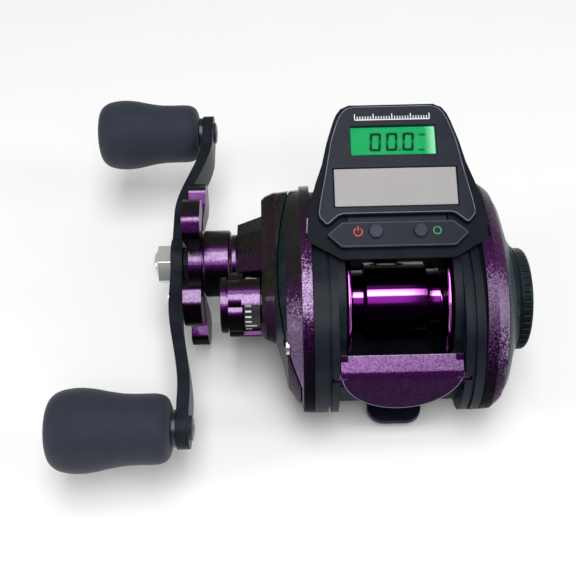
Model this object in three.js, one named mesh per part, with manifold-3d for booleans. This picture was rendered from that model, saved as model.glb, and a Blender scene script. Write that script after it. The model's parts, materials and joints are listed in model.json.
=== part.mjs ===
// A low-profile baitcasting fishing reel with a solar line-counter display.
// Millimetres. X runs along the spool axis with the handle at minus X, Y runs
// forward to the rod tip and Z runs up. The origin is the middle of the
// underside of the reel foot.

import * as THREE from 'three';
import { mergeVertices } from 'three/addons/utils/BufferGeometryUtils.js';
import Module from 'manifold-3d';

const wasm = await Module();
wasm.setup();

// Fits that many pieces share
const mergeDistance = 0.00001;
const overrun = 1;
const runningGap = 0.3;
const snugGap = 0.15;

// Places of the main axes
const spoolAxisHeight = 23.5;
const driveAxisForward = 17.3;
const driveAxisDrop = 2.6;
const wormAxisForward = 26.4;
const wormAxisDrop = 7;
const handleTilt = THREE.MathUtils.degToRad(4.6);

// Reel foot
const footLength = 60.6;
const footWidth = 14.6;
const footThickness = 2.6;
const footTipThickness = 1.4;
const footFlatLength = 30;
const footCornerRadius = 4.5;
const footRearReach = 24;
const footScrewSpacing = 15;
const footScrewForward = 4;
const footScrewRadius = 1.2;
const footScrewHeadRadius = 2.1;
const footScrewHeadDepth = 1.1;
const footScrewLength = 4.4;
const spoolAxisForward = footRearReach - footLength / 2;

// Outlines of the side plates and covers, measured from the spool axis
const sideFront = 36;
const sideRear = 27.5;
const sideTop = 22.8;
const sideBottom = 20.9;
const frameTop = 19.2;

// Side plates, counted outward from the middle of the spool
const plateInner = 15.75;
const plateThickness = 1.85;
const grooveWidth = 0.8;
const grooveDepth = 1.1;
const rimWidth = 3.6;
const palmRimWidth = 2.3;
const rimWall = 1.8;
const lipReach = 13.7;
const lipThickness = 1.2;
const plateOuter = plateInner + plateThickness;
const rimInner = plateOuter + grooveWidth;
const rimOuter = rimInner + rimWidth;
const palmRimOuter = rimInner + palmRimWidth;

// Lower deck and cross bar of the frame
const deckFront = 31;
const deckFrontTop = -12.4;
const deckStepForward = 23;
const deckFloorTop = -16.6;
const deckRear = 21.5;
const deckRearTop = -8;
const deckRearLow = -15.5;
const deckUnderRear = 17;
const deckUnderFront = 26;
const crossBarRear = 10.4;
const crossBarFront = 19;
const crossBarTop = 18.2;
const crossBarThickness = 3.2;

// Spool
const spoolWidth = 27;
const spoolFlangeRadius = 16.5;
const spoolFlangeThickness = 1.4;
const spoolFlangeRound = 0.45;
const spoolBarrelRadius = 10.6;
const spoolBarrelWidth = 16.4;
const spoolStepRadius = 8.6;
const spoolBarrelChamfer = 0.25;
const spoolWall = 1.2;
const spoolHubRadius = 3.2;
const spoolHubEnd = 11;
const spoolShaftRadius = 1.3;
const spoolShaftCoreRadius = 2.2;
const spoolShaftCoreOverhang = 0.9;
const spoolShaftEnd = 23.6;
const spoolWellGap = 0.6;
const clutchPinRadius = 0.45;
const counterRingInner = 9;
const counterRingOuter = 11.4;
const counterRingThickness = 1.2;

// Bearings
const bearingOuterRadius = 4.2;
const bearingWidth = 1.5;
const endBearingOuterRadius = 3;
const endBearingWidth = 2;
const driveBearingOuterRadius = 4.4;
const driveBearingWidth = 1.4;

// Gear train
const driveTeeth = 50;
const pinionTeeth = 10;
const wormDriveTeeth = 24;
const wormTeeth = 16;
const toothDepthShare = 1.6;
const toothRootShare = 0.26;
const toothTipShare = 0.1;
const wormGearWidth = 1.7;
const driveGearWidth = 2.8;
const driveGearRecessRadius = 11.6;
const driveGearRecessDepth = 1.6;
const gearStackGap = 0.2;
const shaftFlangeRadius = 9;
const shaftFlangeThickness = 1.1;
const driveShaftCoreRadius = 3.6;
const driveShaftRadius = 3.3;
const driveShaftInnerRadius = 2.6;
const dragWasherRadius = 11.2;
const dragWasherThickness = 0.8;
const pressurePlateThickness = 1.3;
const pinionGrooveRadius = 2.3;
const pinionFlangeRadius = 3;
const pinionEndLength = 0.6;
const pinionGrooveLength = 1.4;
const pinionToothLength = 4.5;

// Clutch yoke
const yokeThickness = 1;
const yokeEndMargin = 2;
const yokeWidth = 9;
const yokePostSpacing = 18;
const yokePostRadius = 0.9;
const yokePostEnd = 21.9;

// Worm shaft, guide bar and line guide
const wormRadius = 2.3;
const wormJournalRadius = 1.5;
const wormGrooveDepth = 0.5;
const wormGrooveWidth = 1.1;
const wormTurns = 3.5;
const wormJournalInner = 14.6;
const bushingRadius = 3;
const guideBarRadius = 1.2;
const guideBarRearward = 3.2;
const guideBarRise = 7.2;
const guideWidth = 7;
const guideRear = 4.6;
const guideFront = 3.4;
const guideBelow = 3.5;
const guideRingRise = 12.4;
const guideRingHolderRadius = 5.6;
const guideRingOuterRadius = 4.3;
const guideRingInnerRadius = 3.2;
const guideRingLength = 4;
const guideRingLip = 0.5;

// Handle-side cover and gear box cover
const coverGap = 0.2;
const coverWall = 1.8;
const coverStripWidth = 2.8;
const coverStripStep = 1;
const coverCavityOut = 26.6;
const coverCavityInset = 3.4;
const gearBoxFaceOut = 35.2;
const gearBoxRoundForward = 15.3;
const gearBoxRoundRise = 0.4;
const gearBoxRoundRadius = 18;
const gearBoxSpoolRadius = 9.8;
const seamRadius = 80;
const seamOut = 31;
const seamRise = 8;
const seamStripReach = 0.6;
const splitGap = 0.4;
const bossReach = 6.8;
const bossBaseRadius = 14;
const bossEndRadius = 11.2;
const bossSides = 12;
const spoolBossRadius = 5.2;
const spoolBossReach = 4.3;
const spoolBossBore = 3.7;
const coverScrewRear = 18;
const coverScrewRise = 4.6;
const coverScrewRadius = 2.1;
const coverScrewOut = 29;
const coverScrewHeadDepth = 1;
const coverScrewStemRadius = 1;
const coverScrewLength = 3.4;

// One-way bearing and its sleeve
const sleeveRadius = 5;
const oneWayOuterRadius = 8.6;
const oneWayWidth = 5;
const oneWayRecess = 3.4;

// Drag spacer and star drag
const dragSpacerRadius = 8.1;
const dragSpacerWidth = 1.6;
const starSleeveRadius = 9.4;
const starSleeveWidth = 7.4;
const starChamfer = 0.5;
const starArms = 5;
const starTipRadius = 23.7;
const starRootPlace = 7.8;
const starRootThickness = 3.5;
const starTipShift = 0.8;
const starTipThickness = 4.8;
const starHubRadius = 9.5;
const starCoreRadius = 8;
const viewTilt = THREE.MathUtils.degToRad(130);

// Handle arm
const armRadius = 51.7;
const armThickness = 3.2;
const frontArmSweep = 7;
const rearArmSweep = 3.8;
const armFlatHalf = 15;
const armBendEnd = 44;
const armHubRadius = 7.2;
const armWaistHalf = 4.7;
const armEndRadius = 5.3;
const thrustSpacerRadius = 4.8;
const thrustSpacerWidth = 1.7;
const nutAcrossFlats = 10;
const nutHeight = 3.9;
const nutCapRadius = 4.1;
const nutCapHeight = 2;
const nutBoreDepth = 3.1;
const retainerPlace = 11.5;
const retainerHeadRadius = 1.9;
const retainerHeadHeight = 1;
const retainerStemRadius = 0.8;

// Knobs
const knobLength = 31;
const knobRadius = 10.75;
const knobBoreRadius = 2.3;
const knobShaftRadius = 2;
const knobCollarRadius = 4.8;
const knobCollarWidth = 1.3;
const knobRivetRadius = 3.4;
const knobRivetHeight = 0.9;
const knobCapRadius = 4.6;
const knobCapThickness = 1.4;
const knobCapRecess = 0.5;

// Cast control
const castRingInner = 5.6;
const castRingRadius = 7.3;
const castRingStandOff = 0.5;
const castRingWidth = 4.4;
const castBodyRadius = 8.7;
const castBodyLength = 8.4;
const castRimRadius = 7.6;
const castRimWaist = 6.9;
const castRimReach = 2.2;
const castRimWidth = 1.6;
const castLobes = 6;
const castLobeDepth = 0.7;
const castWings = 3;
const castWingThickness = 1.1;
const castWingHalfAngle = THREE.MathUtils.degToRad(26);
const castBoreDepth = 7.5;

// Palm side
const palmSplit = 26.7;
const palmDomeEnd = 31.2;
const palmDomeRadius = 14.4;
const palmCavityEnd = 25.3;
const palmPlugRadius = 16.6;
const palmPlugInner = 14.7;
const palmPlugWall = 1.5;
const palmWebFrom = 19.2;
const palmWebThickness = 1.5;
const palmBossRadius = 4.9;
const palmBossFrom = 17.8;
const palmBossEnd = 24.2;
const dialRadius = 13.65;
const dialWidth = 3.2;
const dialRound = 1.3;
const dialFaceRadius = 8.4;
const dialFaceDepth = 0.6;
const dialRidges = 15;
const dialRidgeDepth = 0.3;
const dialSpindleRadius = 2.4;
const camRadius = 9.6;
const camThickness = 1.3;
const magnetRingInner = 5.8;
const magnetRingOuter = 11.5;
const magnetRingFrom = 15.4;
const magnetRingThickness = 1.8;
const magnetPosts = 3;
const magnetPostRadius = 0.9;
const magnetPostPlace = 8;

// Thumb bar
const thumbSideGap = 0.35;
const thumbRear = 26.1;
const thumbWall = 1.8;
const thumbBottom = 12.4;
const thumbSideBottom = -3;
const thumbLipForward = 20.9;
const thumbLipRise = 4.6;
const thumbPadDrop = 2;
const thumbCornerDrop = 3.4;
const thumbEarRise = 1.1;
const thumbEarWidth = 1.8;
const thumbTabHeight = 2.4;
const thumbTabWidth = 1.8;
const thumbTabLength = 1.6;
const thumbTravel = 4;

// Display, measured in the plane of its panel from the front edge
const displayTilt = THREE.MathUtils.degToRad(24.2);
const displayFrontForward = 35.9;
const displayFrontRise = 37.9;
const panelThickness = 1.4;
const panelHalf = 20.4;
const panelLength = 33.6;
const buttonPlateFront = 32.4;
const buttonPlateFrontHalf = 14.2;
const buttonPlateMiddle = 35.8;
const buttonPlateHalf = 18.2;
const buttonPlateRear = 39.3;
const buttonPlateRearHalf = 14.5;
const housingFront = 0.8;
const housingHalf = 23.2;
const housingRear = 42;
const tongueFront = 29;
const tongueRear = 32.9;
const tongueDrop = 0.1;
const tongueThickness = 0.7;
const tongueRiserWidth = 0.35;
const deckPlateThickness = 1.5;
const blockFrontDrop = 6.5;
const blockKnee = 12;
const blockKneeDrop = 13.6;
const blockFoot = 25;
const blockFootDrop = 14.6;
const blockInset = 1.4;
const pocketFront = 4;
const pocketRear = 37.7;
const pocketHalf = 13;
const pocketDepth = 5;
const boardThickness = 1.2;
const boardMargin = 0.3;
const cellRadius = 6;
const cellHeight = 3.1;
const cellPlace = 16;
const cellPocketDepth = 8.6;
const lcdFront = 6;
const lcdLength = 7.9;
const lcdHalf = 10.9;
const lcdMargin = 1.4;
const windowThickness = 1.15;
const windowGap = 0.15;
const solarFront = 17.9;
const solarLength = 10.3;
const solarHalf = 15.8;
const solarThickness = 0.9;
const solarRecess = 1;
const buttonPlace = 35.2;
const buttonSpacing = 11.4;
const buttonRadius = 1.75;
const buttonHeight = 1;
const buttonFlangeRadius = 2.2;
const buttonFlangeThickness = 0.6;
const buttonStemEnd = 3;
const buttonRound = 0.4;

// Where the rays of a cover's rings start, as a share of the way to the drive axis
const ringCentreShare = 0.4;

// How finely curves are cut
const fineSides = 28;
const roundSides = 18;
const smallSides = 10;
const ringPoints = 32;
const outlinePoints = 32;
const seamSides = 90;
const wormSides = 10;
const wormSteps = 24;
const notchSides = 5;
const cornerSteps = 6;
const wingSteps = 8;
const armSteps = 32;
const armBendSteps = 6;
const nutSides = 6;
const nutCapSteps = 5;

// Shares of the side outline: forward or rearward reach, then top or bottom reach
const sideOutlineShares = [
  [1, -0.06], [0.955, 0.3], [0.79, 0.72], [0.56, 0.93], [0.22, 1], [-0.1, 0.965],
  [-0.42, 0.85], [-0.7, 0.6], [-0.91, 0.2], [-1, -0.25], [-0.955, -0.64], [-0.74, -0.89],
  [-0.3, -0.985], [0.22, -1], [0.61, -0.945], [0.87, -0.64],
];

// Shares of the knob profile: along the knob from the arm, then out to its full radius
const knobProfileShares = [
  [0, 0.56], [0.02, 0.7], [0.06, 0.79], [0.13, 0.83], [0.25, 0.83], [0.38, 0.845],
  [0.5, 0.9], [0.61, 0.965], [0.72, 1], [0.82, 0.985], [0.9, 0.93], [0.955, 0.83],
  [0.985, 0.7], [1, 0.52],
];

// Shares of a star arm's plan: reach from the hub's middle, then half its width, in tip radii
const starArmShares = [[0.18, 0.093], [0.359, 0.093], [0.591, 0.177], [0.857, 0.278], [1, 0.127]];

// How far along a star arm, in tip radii, its thin root ends and its thick tip starts
const starThinShare = 0.506;
const starThickShare = 0.717;

// Shares of the handle-side shell: place past its strip in strip widths, inset in strip steps,
// then how far the side outline has turned into the belt round the gear box
const shellShares = [[0, 0.15, 0], [0.05, 1, 0], [1.4, 1.2, 0.3], [2, 1.5, 0.75], [2.5, 2, 1]];

// Shares of the palm-side cover: place from its rim to the seam, then inset in strip steps
const palmRimShares = [[0, 0], [0.48, 0.15], [0.82, 1.5], [0.99, 2.4]];

// Shares of the outer cap: place from the seam to its face, inset in strip steps, turn to a disc
const palmCapShares = [[0.03, 3, 0], [0.33, 5, 0], [0.67, 8, 0.35], [0.93, 10, 0.85], [1, 10, 1]];

// Shares of the panel outline: half its width, then its length
const panelShares = [
  [0.52, 0], [0.618, 0.024], [0.681, 0.071], [0.725, 0.125], [0.814, 0.292], [0.902, 0.586],
  [0.98, 0.815], [1, 0.917], [0.882, 1], [0.711, 0.908],
];

// Shares of the housing outline: half its width, its length, then how much its ends grow with it
const housingShares = [
  [0.483, -0.019, -1], [0.578, 0.005, -0.8], [0.634, 0.048, -0.3], [0.672, 0.1, 0], [0.75, 0.238, 0],
  [0.81, 0.381, 0], [0.884, 0.5, 0], [0.974, 0.667, 0], [1, 0.879, 0], [0.621, 1, 1],
];

// Values worked out from the sizes above
const gearDistance = Math.hypot(driveAxisForward, driveAxisDrop);
const gearModule = (2 * gearDistance) / (driveTeeth + pinionTeeth);
const wormDistance = Math.hypot(wormAxisForward - driveAxisForward, wormAxisDrop - driveAxisDrop);
const wormModule = (2 * wormDistance) / (wormDriveTeeth + wormTeeth);
const spoolHalf = spoolWidth / 2;
const coverInner = rimOuter + coverGap;
const coverStripOut = rimOuter + coverStripWidth;
const palmCoverInner = palmRimOuter + coverGap;
const palmStripOut = palmRimOuter + coverStripWidth;
const wormGearOut = plateOuter + 4 * runningGap;
const shaftFlangeOut = wormGearOut + wormGearWidth + runningGap;
const driveGearOut = shaftFlangeOut + shaftFlangeThickness + gearStackGap;
const driveGearEnd = driveGearOut + driveGearWidth;
const firstWasherOut = driveGearEnd - driveGearRecessDepth;
const secondWasherOut = firstWasherOut + dragWasherThickness;
const pressurePlateOut = secondWasherOut + dragWasherThickness;
const sleeveOut = pressurePlateOut + pressurePlateThickness;
const oneWayOut = sleeveOut + oneWayRecess;
const bossEndOut = gearBoxFaceOut + bossReach;
const castRingOut = gearBoxFaceOut + castRingStandOff;
const castBodyEnd = castRingOut + castBodyLength;
const castRimEnd = castBodyEnd + castRimReach;
const castBoreEnd = castRingOut + castBoreDepth;
const spoolBossEnd = castRingOut + spoolBossReach;
const dragSpacerOut = bossEndOut + runningGap;
const starOut = dragSpacerOut + dragSpacerWidth + runningGap;
const starSleeveEnd = starOut + starSleeveWidth;
const starRootOut = starOut + starRootPlace;
const starTipOut = starRootOut - starTipShift;
const starHubEnd = starRootOut + starRootThickness;
const thrustSpacerOut = starHubEnd + runningGap;
const armHubOut = thrustSpacerOut + thrustSpacerWidth;
const frontArmOut = armHubOut - frontArmSweep;
const rearArmOut = armHubOut - rearArmSweep;
const pinionOut = plateOuter + 4 * runningGap;
const pinionGrooveOut = pinionOut + pinionEndLength;
const pinionToothOut = pinionGrooveOut + pinionGrooveLength;
const yokeHeight = yokePostSpacing + 2 * yokeEndMargin;
const yokeOut = pinionGrooveOut + (pinionGrooveLength - yokeThickness) / 2;
const nutOut = armHubOut + armThickness;
const driveShaftTip = nutOut + nutBoreDepth - runningGap;
const deckSeat = footThickness - spoolAxisHeight;
const lipInnerRadius = spoolFlangeRadius + spoolWellGap;
const thumbHalfWidth = plateInner - thumbSideGap;
const dialFrom = palmDomeEnd + runningGap;
const camFrom = palmCavityEnd + runningGap;

// Materials
function paint(colour, roughness, metalness) {
  return new THREE.MeshStandardMaterial({ color: colour, roughness, metalness });
}

const materials = {
  matteBlack: paint(0x2b2f3a, 0.55, 0.3),
  shiftPaint: paint(0x54285c, 0.3, 0.6),
  darkPaint: paint(0x35383c, 0.35, 0.5),
  teal: paint(0x2c3740, 0.35, 0.5),
  anodised: paint(0xa020a8, 0.12, 1),
  purpleMetal: paint(0x6a2a80, 0.22, 0.9),
  panel: paint(0x2c3040, 0.2, 0),
  housing: paint(0x25282f, 0.5, 0),
  lcd: paint(0x00c86e, 0.3, 0),
  glass: paint(0xd8f0e4, 0.05, 0),
  solar: paint(0xaaa6a4, 0.3, 0.2),
  button: paint(0x41444f, 0.6, 0),
  board: paint(0x1f6b3c, 0.6, 0),
  steel: paint(0xc8cace, 0.2, 1),
  brass: paint(0xb78b45, 0.3, 1),
  carbon: paint(0x202124, 0.7, 0),
  magnet: paint(0x6f7276, 0.4, 0.8),
  ceramic: paint(0x3a3d45, 0.2, 0),
  grip: paint(0x343844, 0.9, 0),
};

// A closed geometry becomes a solid that can be joined and cut
function solidOf(geometry) {
  const bare = new THREE.BufferGeometry();
  bare.setAttribute('position', geometry.getAttribute('position').clone());
  if (geometry.index) bare.setIndex(geometry.index.clone());
  const merged = mergeVertices(bare, mergeDistance);
  const corners = Array.from(merged.index.array);
  const triangles = [];
  for (let i = 0; i < corners.length; i += 3) {
    const [a, b, c] = corners.slice(i, i + 3);
    if (a !== b && b !== c && c !== a) triangles.push([a, b, c]);
  }
  const places = merged.getAttribute('position');
  const a = new THREE.Vector3();
  const b = new THREE.Vector3();
  const c = new THREE.Vector3();
  let volume = 0;
  for (const [i, j, k] of triangles) {
    a.fromBufferAttribute(places, i);
    b.fromBufferAttribute(places, j);
    c.fromBufferAttribute(places, k);
    volume += a.dot(b.cross(c));
  }
  if (volume < 0) triangles.forEach((triangle) => triangle.reverse());
  const mesh = new wasm.Mesh({
    numProp: 3,
    vertProperties: Float32Array.from(places.array),
    triVerts: Uint32Array.from(triangles.flat()),
  });
  return new wasm.Manifold(mesh);
}

function geometryOf(solid) {
  const mesh = solid.getMesh();
  const geometry = new THREE.BufferGeometry();
  geometry.setAttribute('position', new THREE.BufferAttribute(Float32Array.from(mesh.vertProperties), 3));
  geometry.setIndex(Array.from(mesh.triVerts));
  return geometry;
}

function joined(first, ...others) {
  return others.reduce((sum, other) => sum.add(other), first);
}

function cut(first, ...others) {
  return others.reduce((rest, other) => rest.subtract(other), first);
}

function moved(solid, matrix) {
  return solidOf(geometryOf(solid).applyMatrix4(matrix));
}

// Drawings lie in the YZ plane and their depth runs along X
const alongX = new THREE.Matrix4().makeBasis(
  new THREE.Vector3(0, 1, 0), new THREE.Vector3(0, 0, 1), new THREE.Vector3(1, 0, 0),
);

function prismX(points, from, to) {
  const shape = new THREE.Shape(points.map(([y, z]) => new THREE.Vector2(y, z)));
  const depth = Math.abs(to - from);
  const geometry = new THREE.ExtrudeGeometry(shape, { depth, bevelEnabled: false });
  geometry.translate(0, 0, Math.min(from, to));
  return solidOf(geometry.applyMatrix4(alongX));
}

// A drawing in the XY plane raised along Z
function prismZ(points, from, to) {
  const shape = new THREE.Shape(points.map(([x, y]) => new THREE.Vector2(x, y)));
  const geometry = new THREE.ExtrudeGeometry(shape, { depth: to - from, bevelEnabled: false });
  return solidOf(geometry.translate(0, 0, from));
}

function box(x0, x1, y0, y1, z0, z1) {
  const geometry = new THREE.BoxGeometry(x1 - x0, y1 - y0, z1 - z0);
  return solidOf(geometry.translate((x0 + x1) / 2, (y0 + y1) / 2, (z0 + z1) / 2));
}

// A turned piece: its profile lists places along X with their radii
function turnedX(profile, y = 0, z = 0, sides = roundSides) {
  const points = profile.map(([x, radius]) => new THREE.Vector2(radius, x));
  const geometry = new THREE.LatheGeometry(points, sides);
  return solidOf(geometry.rotateZ(-Math.PI / 2).translate(0, y, z));
}

function rodX(radius, from, to, y = 0, z = 0, sides = roundSides) {
  const low = Math.min(from, to);
  const high = Math.max(from, to);
  return turnedX([[low, 0], [low, radius], [high, radius], [high, 0]], y, z, sides);
}

function tubeX(inner, outer, from, to, y = 0, z = 0, sides = roundSides) {
  const profile = [[from, inner], [from, outer], [to, outer], [to, inner], [from, inner]];
  return turnedX(profile, y, z, sides);
}

function rodZ(radius, from, to, x = 0, y = 0, sides = roundSides) {
  const geometry = new THREE.CylinderGeometry(radius, radius, to - from, sides);
  return solidOf(geometry.rotateX(Math.PI / 2).translate(x, y, (from + to) / 2));
}

function rodY(radius, from, to, x = 0, z = 0, sides = roundSides) {
  const geometry = new THREE.CylinderGeometry(radius, radius, to - from, sides);
  return solidOf(geometry.translate(x, (from + to) / 2, z));
}

// Rings of [y, z] points at rising places along X, skinned and capped
function loftX(stations) {
  const count = stations[0].ring.length;
  const positions = [];
  const index = [];
  stations.forEach(({ x, ring }) => ring.forEach(([y, z]) => positions.push(x, y, z)));
  for (let level = 0; level + 1 < stations.length; level += 1) {
    for (let i = 0; i < count; i += 1) {
      const next = (i + 1) % count;
      const a = level * count + i;
      const b = level * count + next;
      index.push(a, b, b + count, a, b + count, a + count);
    }
  }
  const capAt = (level, outward) => {
    const contour = stations[level].ring.map(([y, z]) => new THREE.Vector2(y, z));
    for (const [a, b, c] of THREE.ShapeUtils.triangulateShape(contour, [])) {
      const face = outward ? [a, b, c] : [c, b, a];
      index.push(...face.map((i) => i + level * count));
    }
  };
  capAt(0, false);
  capAt(stations.length - 1, true);
  const geometry = new THREE.BufferGeometry();
  geometry.setAttribute('position', new THREE.Float32BufferAttribute(positions, 3));
  geometry.setIndex(index);
  return solidOf(geometry);
}

function mirroredStations(stations) {
  return stations.map(({ out, ring }) => ({ x: -out, ring })).reverse();
}

// The closed side outline, drawn in by an inset all round
function sideOutline(inset, top = sideTop) {
  const points = sideOutlineShares.map(([forward, rise]) => new THREE.Vector3(
    forward * ((forward > 0 ? sideFront : sideRear) - inset),
    rise * ((rise > 0 ? top : sideBottom) - inset),
    0,
  ));
  const curve = new THREE.CatmullRomCurve3(points, true, 'catmullrom', 0.5);
  return curve.getPoints(outlinePoints).slice(0, -1).map(({ x, y }) => [x, y]);
}

// Where rays from a centre meet an outline, as a ring with evenly turned points
const ringCentre = [driveAxisForward * ringCentreShare, -driveAxisDrop * ringCentreShare];

function rayRing(outline) {
  const ring = [];
  for (let i = 0; i < ringPoints; i += 1) {
    const angle = (2 * Math.PI * i) / ringPoints;
    const [dy, dz] = [Math.cos(angle), Math.sin(angle)];
    let reach = 0;
    outline.forEach(([y0, z0], j) => {
      const [y1, z1] = outline[(j + 1) % outline.length];
      const [ay, az] = [y0 - ringCentre[0], z0 - ringCentre[1]];
      const [ey, ez] = [y1 - y0, z1 - z0];
      const across = dy * ez - dz * ey;
      const along = (ay * ez - az * ey) / across;
      const share = (ay * dz - az * dy) / across;
      if (along > reach && share >= 0 && share <= 1) reach = along;
    });
    ring.push([ringCentre[0] + dy * reach, ringCentre[1] + dz * reach]);
  }
  return ring;
}

// The outline that a band would take round two discs
function beltRing(roundRadius, spoolRadius) {
  const lean = Math.atan2(gearBoxRoundRise, gearBoxRoundForward);
  const distance = Math.hypot(gearBoxRoundRise, gearBoxRoundForward);
  const open = Math.acos((spoolRadius - roundRadius) / distance);
  const outline = [];
  for (let i = 0; i <= roundSides; i += 1) {
    const angle = lean - (Math.PI - open) + (2 * (Math.PI - open) * i) / roundSides;
    outline.push([
      gearBoxRoundForward + roundRadius * Math.cos(angle),
      gearBoxRoundRise + roundRadius * Math.sin(angle),
    ]);
  }
  for (let i = 0; i <= roundSides; i += 1) {
    const angle = lean + (Math.PI - open) + (2 * open * i) / roundSides;
    outline.push([spoolRadius * Math.cos(angle), spoolRadius * Math.sin(angle)]);
  }
  return rayRing(outline);
}

function sideRing(inset) {
  return rayRing(sideOutline(inset));
}

function blendRing(first, second, share) {
  return first.map(([y, z], i) => [
    y + (second[i][0] - y) * share,
    z + (second[i][1] - z) * share,
  ]);
}

// A spur gear outline with straight flanks
function gearPoints(teeth, module, turn) {
  const pitchRadius = (teeth * module) / 2;
  const root = pitchRadius - (toothDepthShare * module) / 2;
  const tip = pitchRadius + (toothDepthShare * module) / 2;
  const pitch = (2 * Math.PI) / teeth;
  const points = [];
  for (let tooth = 0; tooth < teeth; tooth += 1) {
    const middle = turn + tooth * pitch;
    const corners = [
      [-toothRootShare, root], [-toothTipShare, tip], [toothTipShare, tip], [toothRootShare, root],
    ];
    for (const [share, radius] of corners) {
      const angle = middle + share * pitch;
      points.push([radius * Math.cos(angle), radius * Math.sin(angle)]);
    }
  }
  return points;
}

// Frame transforms between the display plane and the spool axis
const displayMatrix = new THREE.Matrix4()
  .makeTranslation(0, displayFrontForward, displayFrontRise)
  .multiply(new THREE.Matrix4().makeRotationX(displayTilt));
const displayInverse = displayMatrix.clone().invert();

const root = new THREE.Group();
const reel = new THREE.Group();
const drive = new THREE.Group();
const handle = new THREE.Group();
const display = new THREE.Group();
reel.position.set(0, spoolAxisForward, spoolAxisHeight);
drive.position.set(0, driveAxisForward, -driveAxisDrop);
handle.rotation.x = handleTilt;
display.applyMatrix4(displayMatrix);
root.add(reel);
reel.add(drive, display);
drive.add(handle);

function place(group, name, solid, material) {
  const mesh = new THREE.Mesh(geometryOf(solid), material);
  mesh.name = name;
  group.add(mesh);
  return mesh;
}

// Outlines in the display plane, mirrored about its middle
function mirrored(half) {
  const right = half.map(([x, along]) => [x, -along]);
  const left = half.map(([x, along]) => [-x, -along]).reverse();
  return [...right, ...left];
}

function panelOutline() {
  return mirrored(panelShares.map(([half, along]) => [half * panelHalf, along * panelLength]));
}

function housingOutline(grow = 0) {
  return mirrored(housingShares.map(([half, along, push]) => (
    [half * housingHalf + grow, along * housingRear + push * grow]
  )));
}

function makeFoot() {
  const front = footLength - footRearReach;
  const middle = (front - footRearReach) / 2;
  const flat = footFlatLength / 2;
  const low = -spoolAxisHeight;
  const profile = [
    [-footRearReach, low], [front, low], [front, low + footTipThickness],
    [middle + flat, deckSeat], [middle - flat, deckSeat], [-footRearReach, low + footTipThickness],
  ];
  const half = footWidth / 2;
  const corner = footCornerRadius;
  const plan = new THREE.Shape();
  plan.moveTo(-half, -footRearReach + corner);
  plan.absarc(-half + corner, -footRearReach + corner, corner, Math.PI, 1.5 * Math.PI, false);
  plan.absarc(half - corner, -footRearReach + corner, corner, 1.5 * Math.PI, 2 * Math.PI, false);
  plan.absarc(half - corner, front - corner, corner, 0, 0.5 * Math.PI, false);
  plan.absarc(-half + corner, front - corner, corner, 0.5 * Math.PI, Math.PI, false);
  const depth = footThickness + 2 * overrun;
  const settings = { depth, bevelEnabled: false, curveSegments: cornerSteps };
  const outline = new THREE.ExtrudeGeometry(plan, settings);
  const blank = solidOf(outline.translate(0, 0, low - overrun));
  let foot = prismX(profile, -half - overrun, half + overrun).intersect(blank);
  for (const place of footScrewPlaces()) {
    foot = cut(
      foot,
      rodZ(footScrewRadius + snugGap, low - overrun, deckSeat + overrun, 0, place, smallSides),
      rodZ(footScrewHeadRadius + snugGap, low - overrun, low + footScrewHeadDepth, 0, place, smallSides),
    );
  }
  return foot;
}

function footScrewPlaces() {
  const half = footScrewSpacing / 2;
  return [footScrewForward - half, footScrewForward + half];
}

function makeFootScrew(place) {
  const low = -spoolAxisHeight + snugGap;
  const head = rodZ(footScrewHeadRadius, low, low + footScrewHeadDepth - snugGap, 0, place, smallSides);
  const stem = rodZ(footScrewRadius, low, low + footScrewLength, 0, place, smallSides);
  return joined(head, stem);
}

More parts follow.
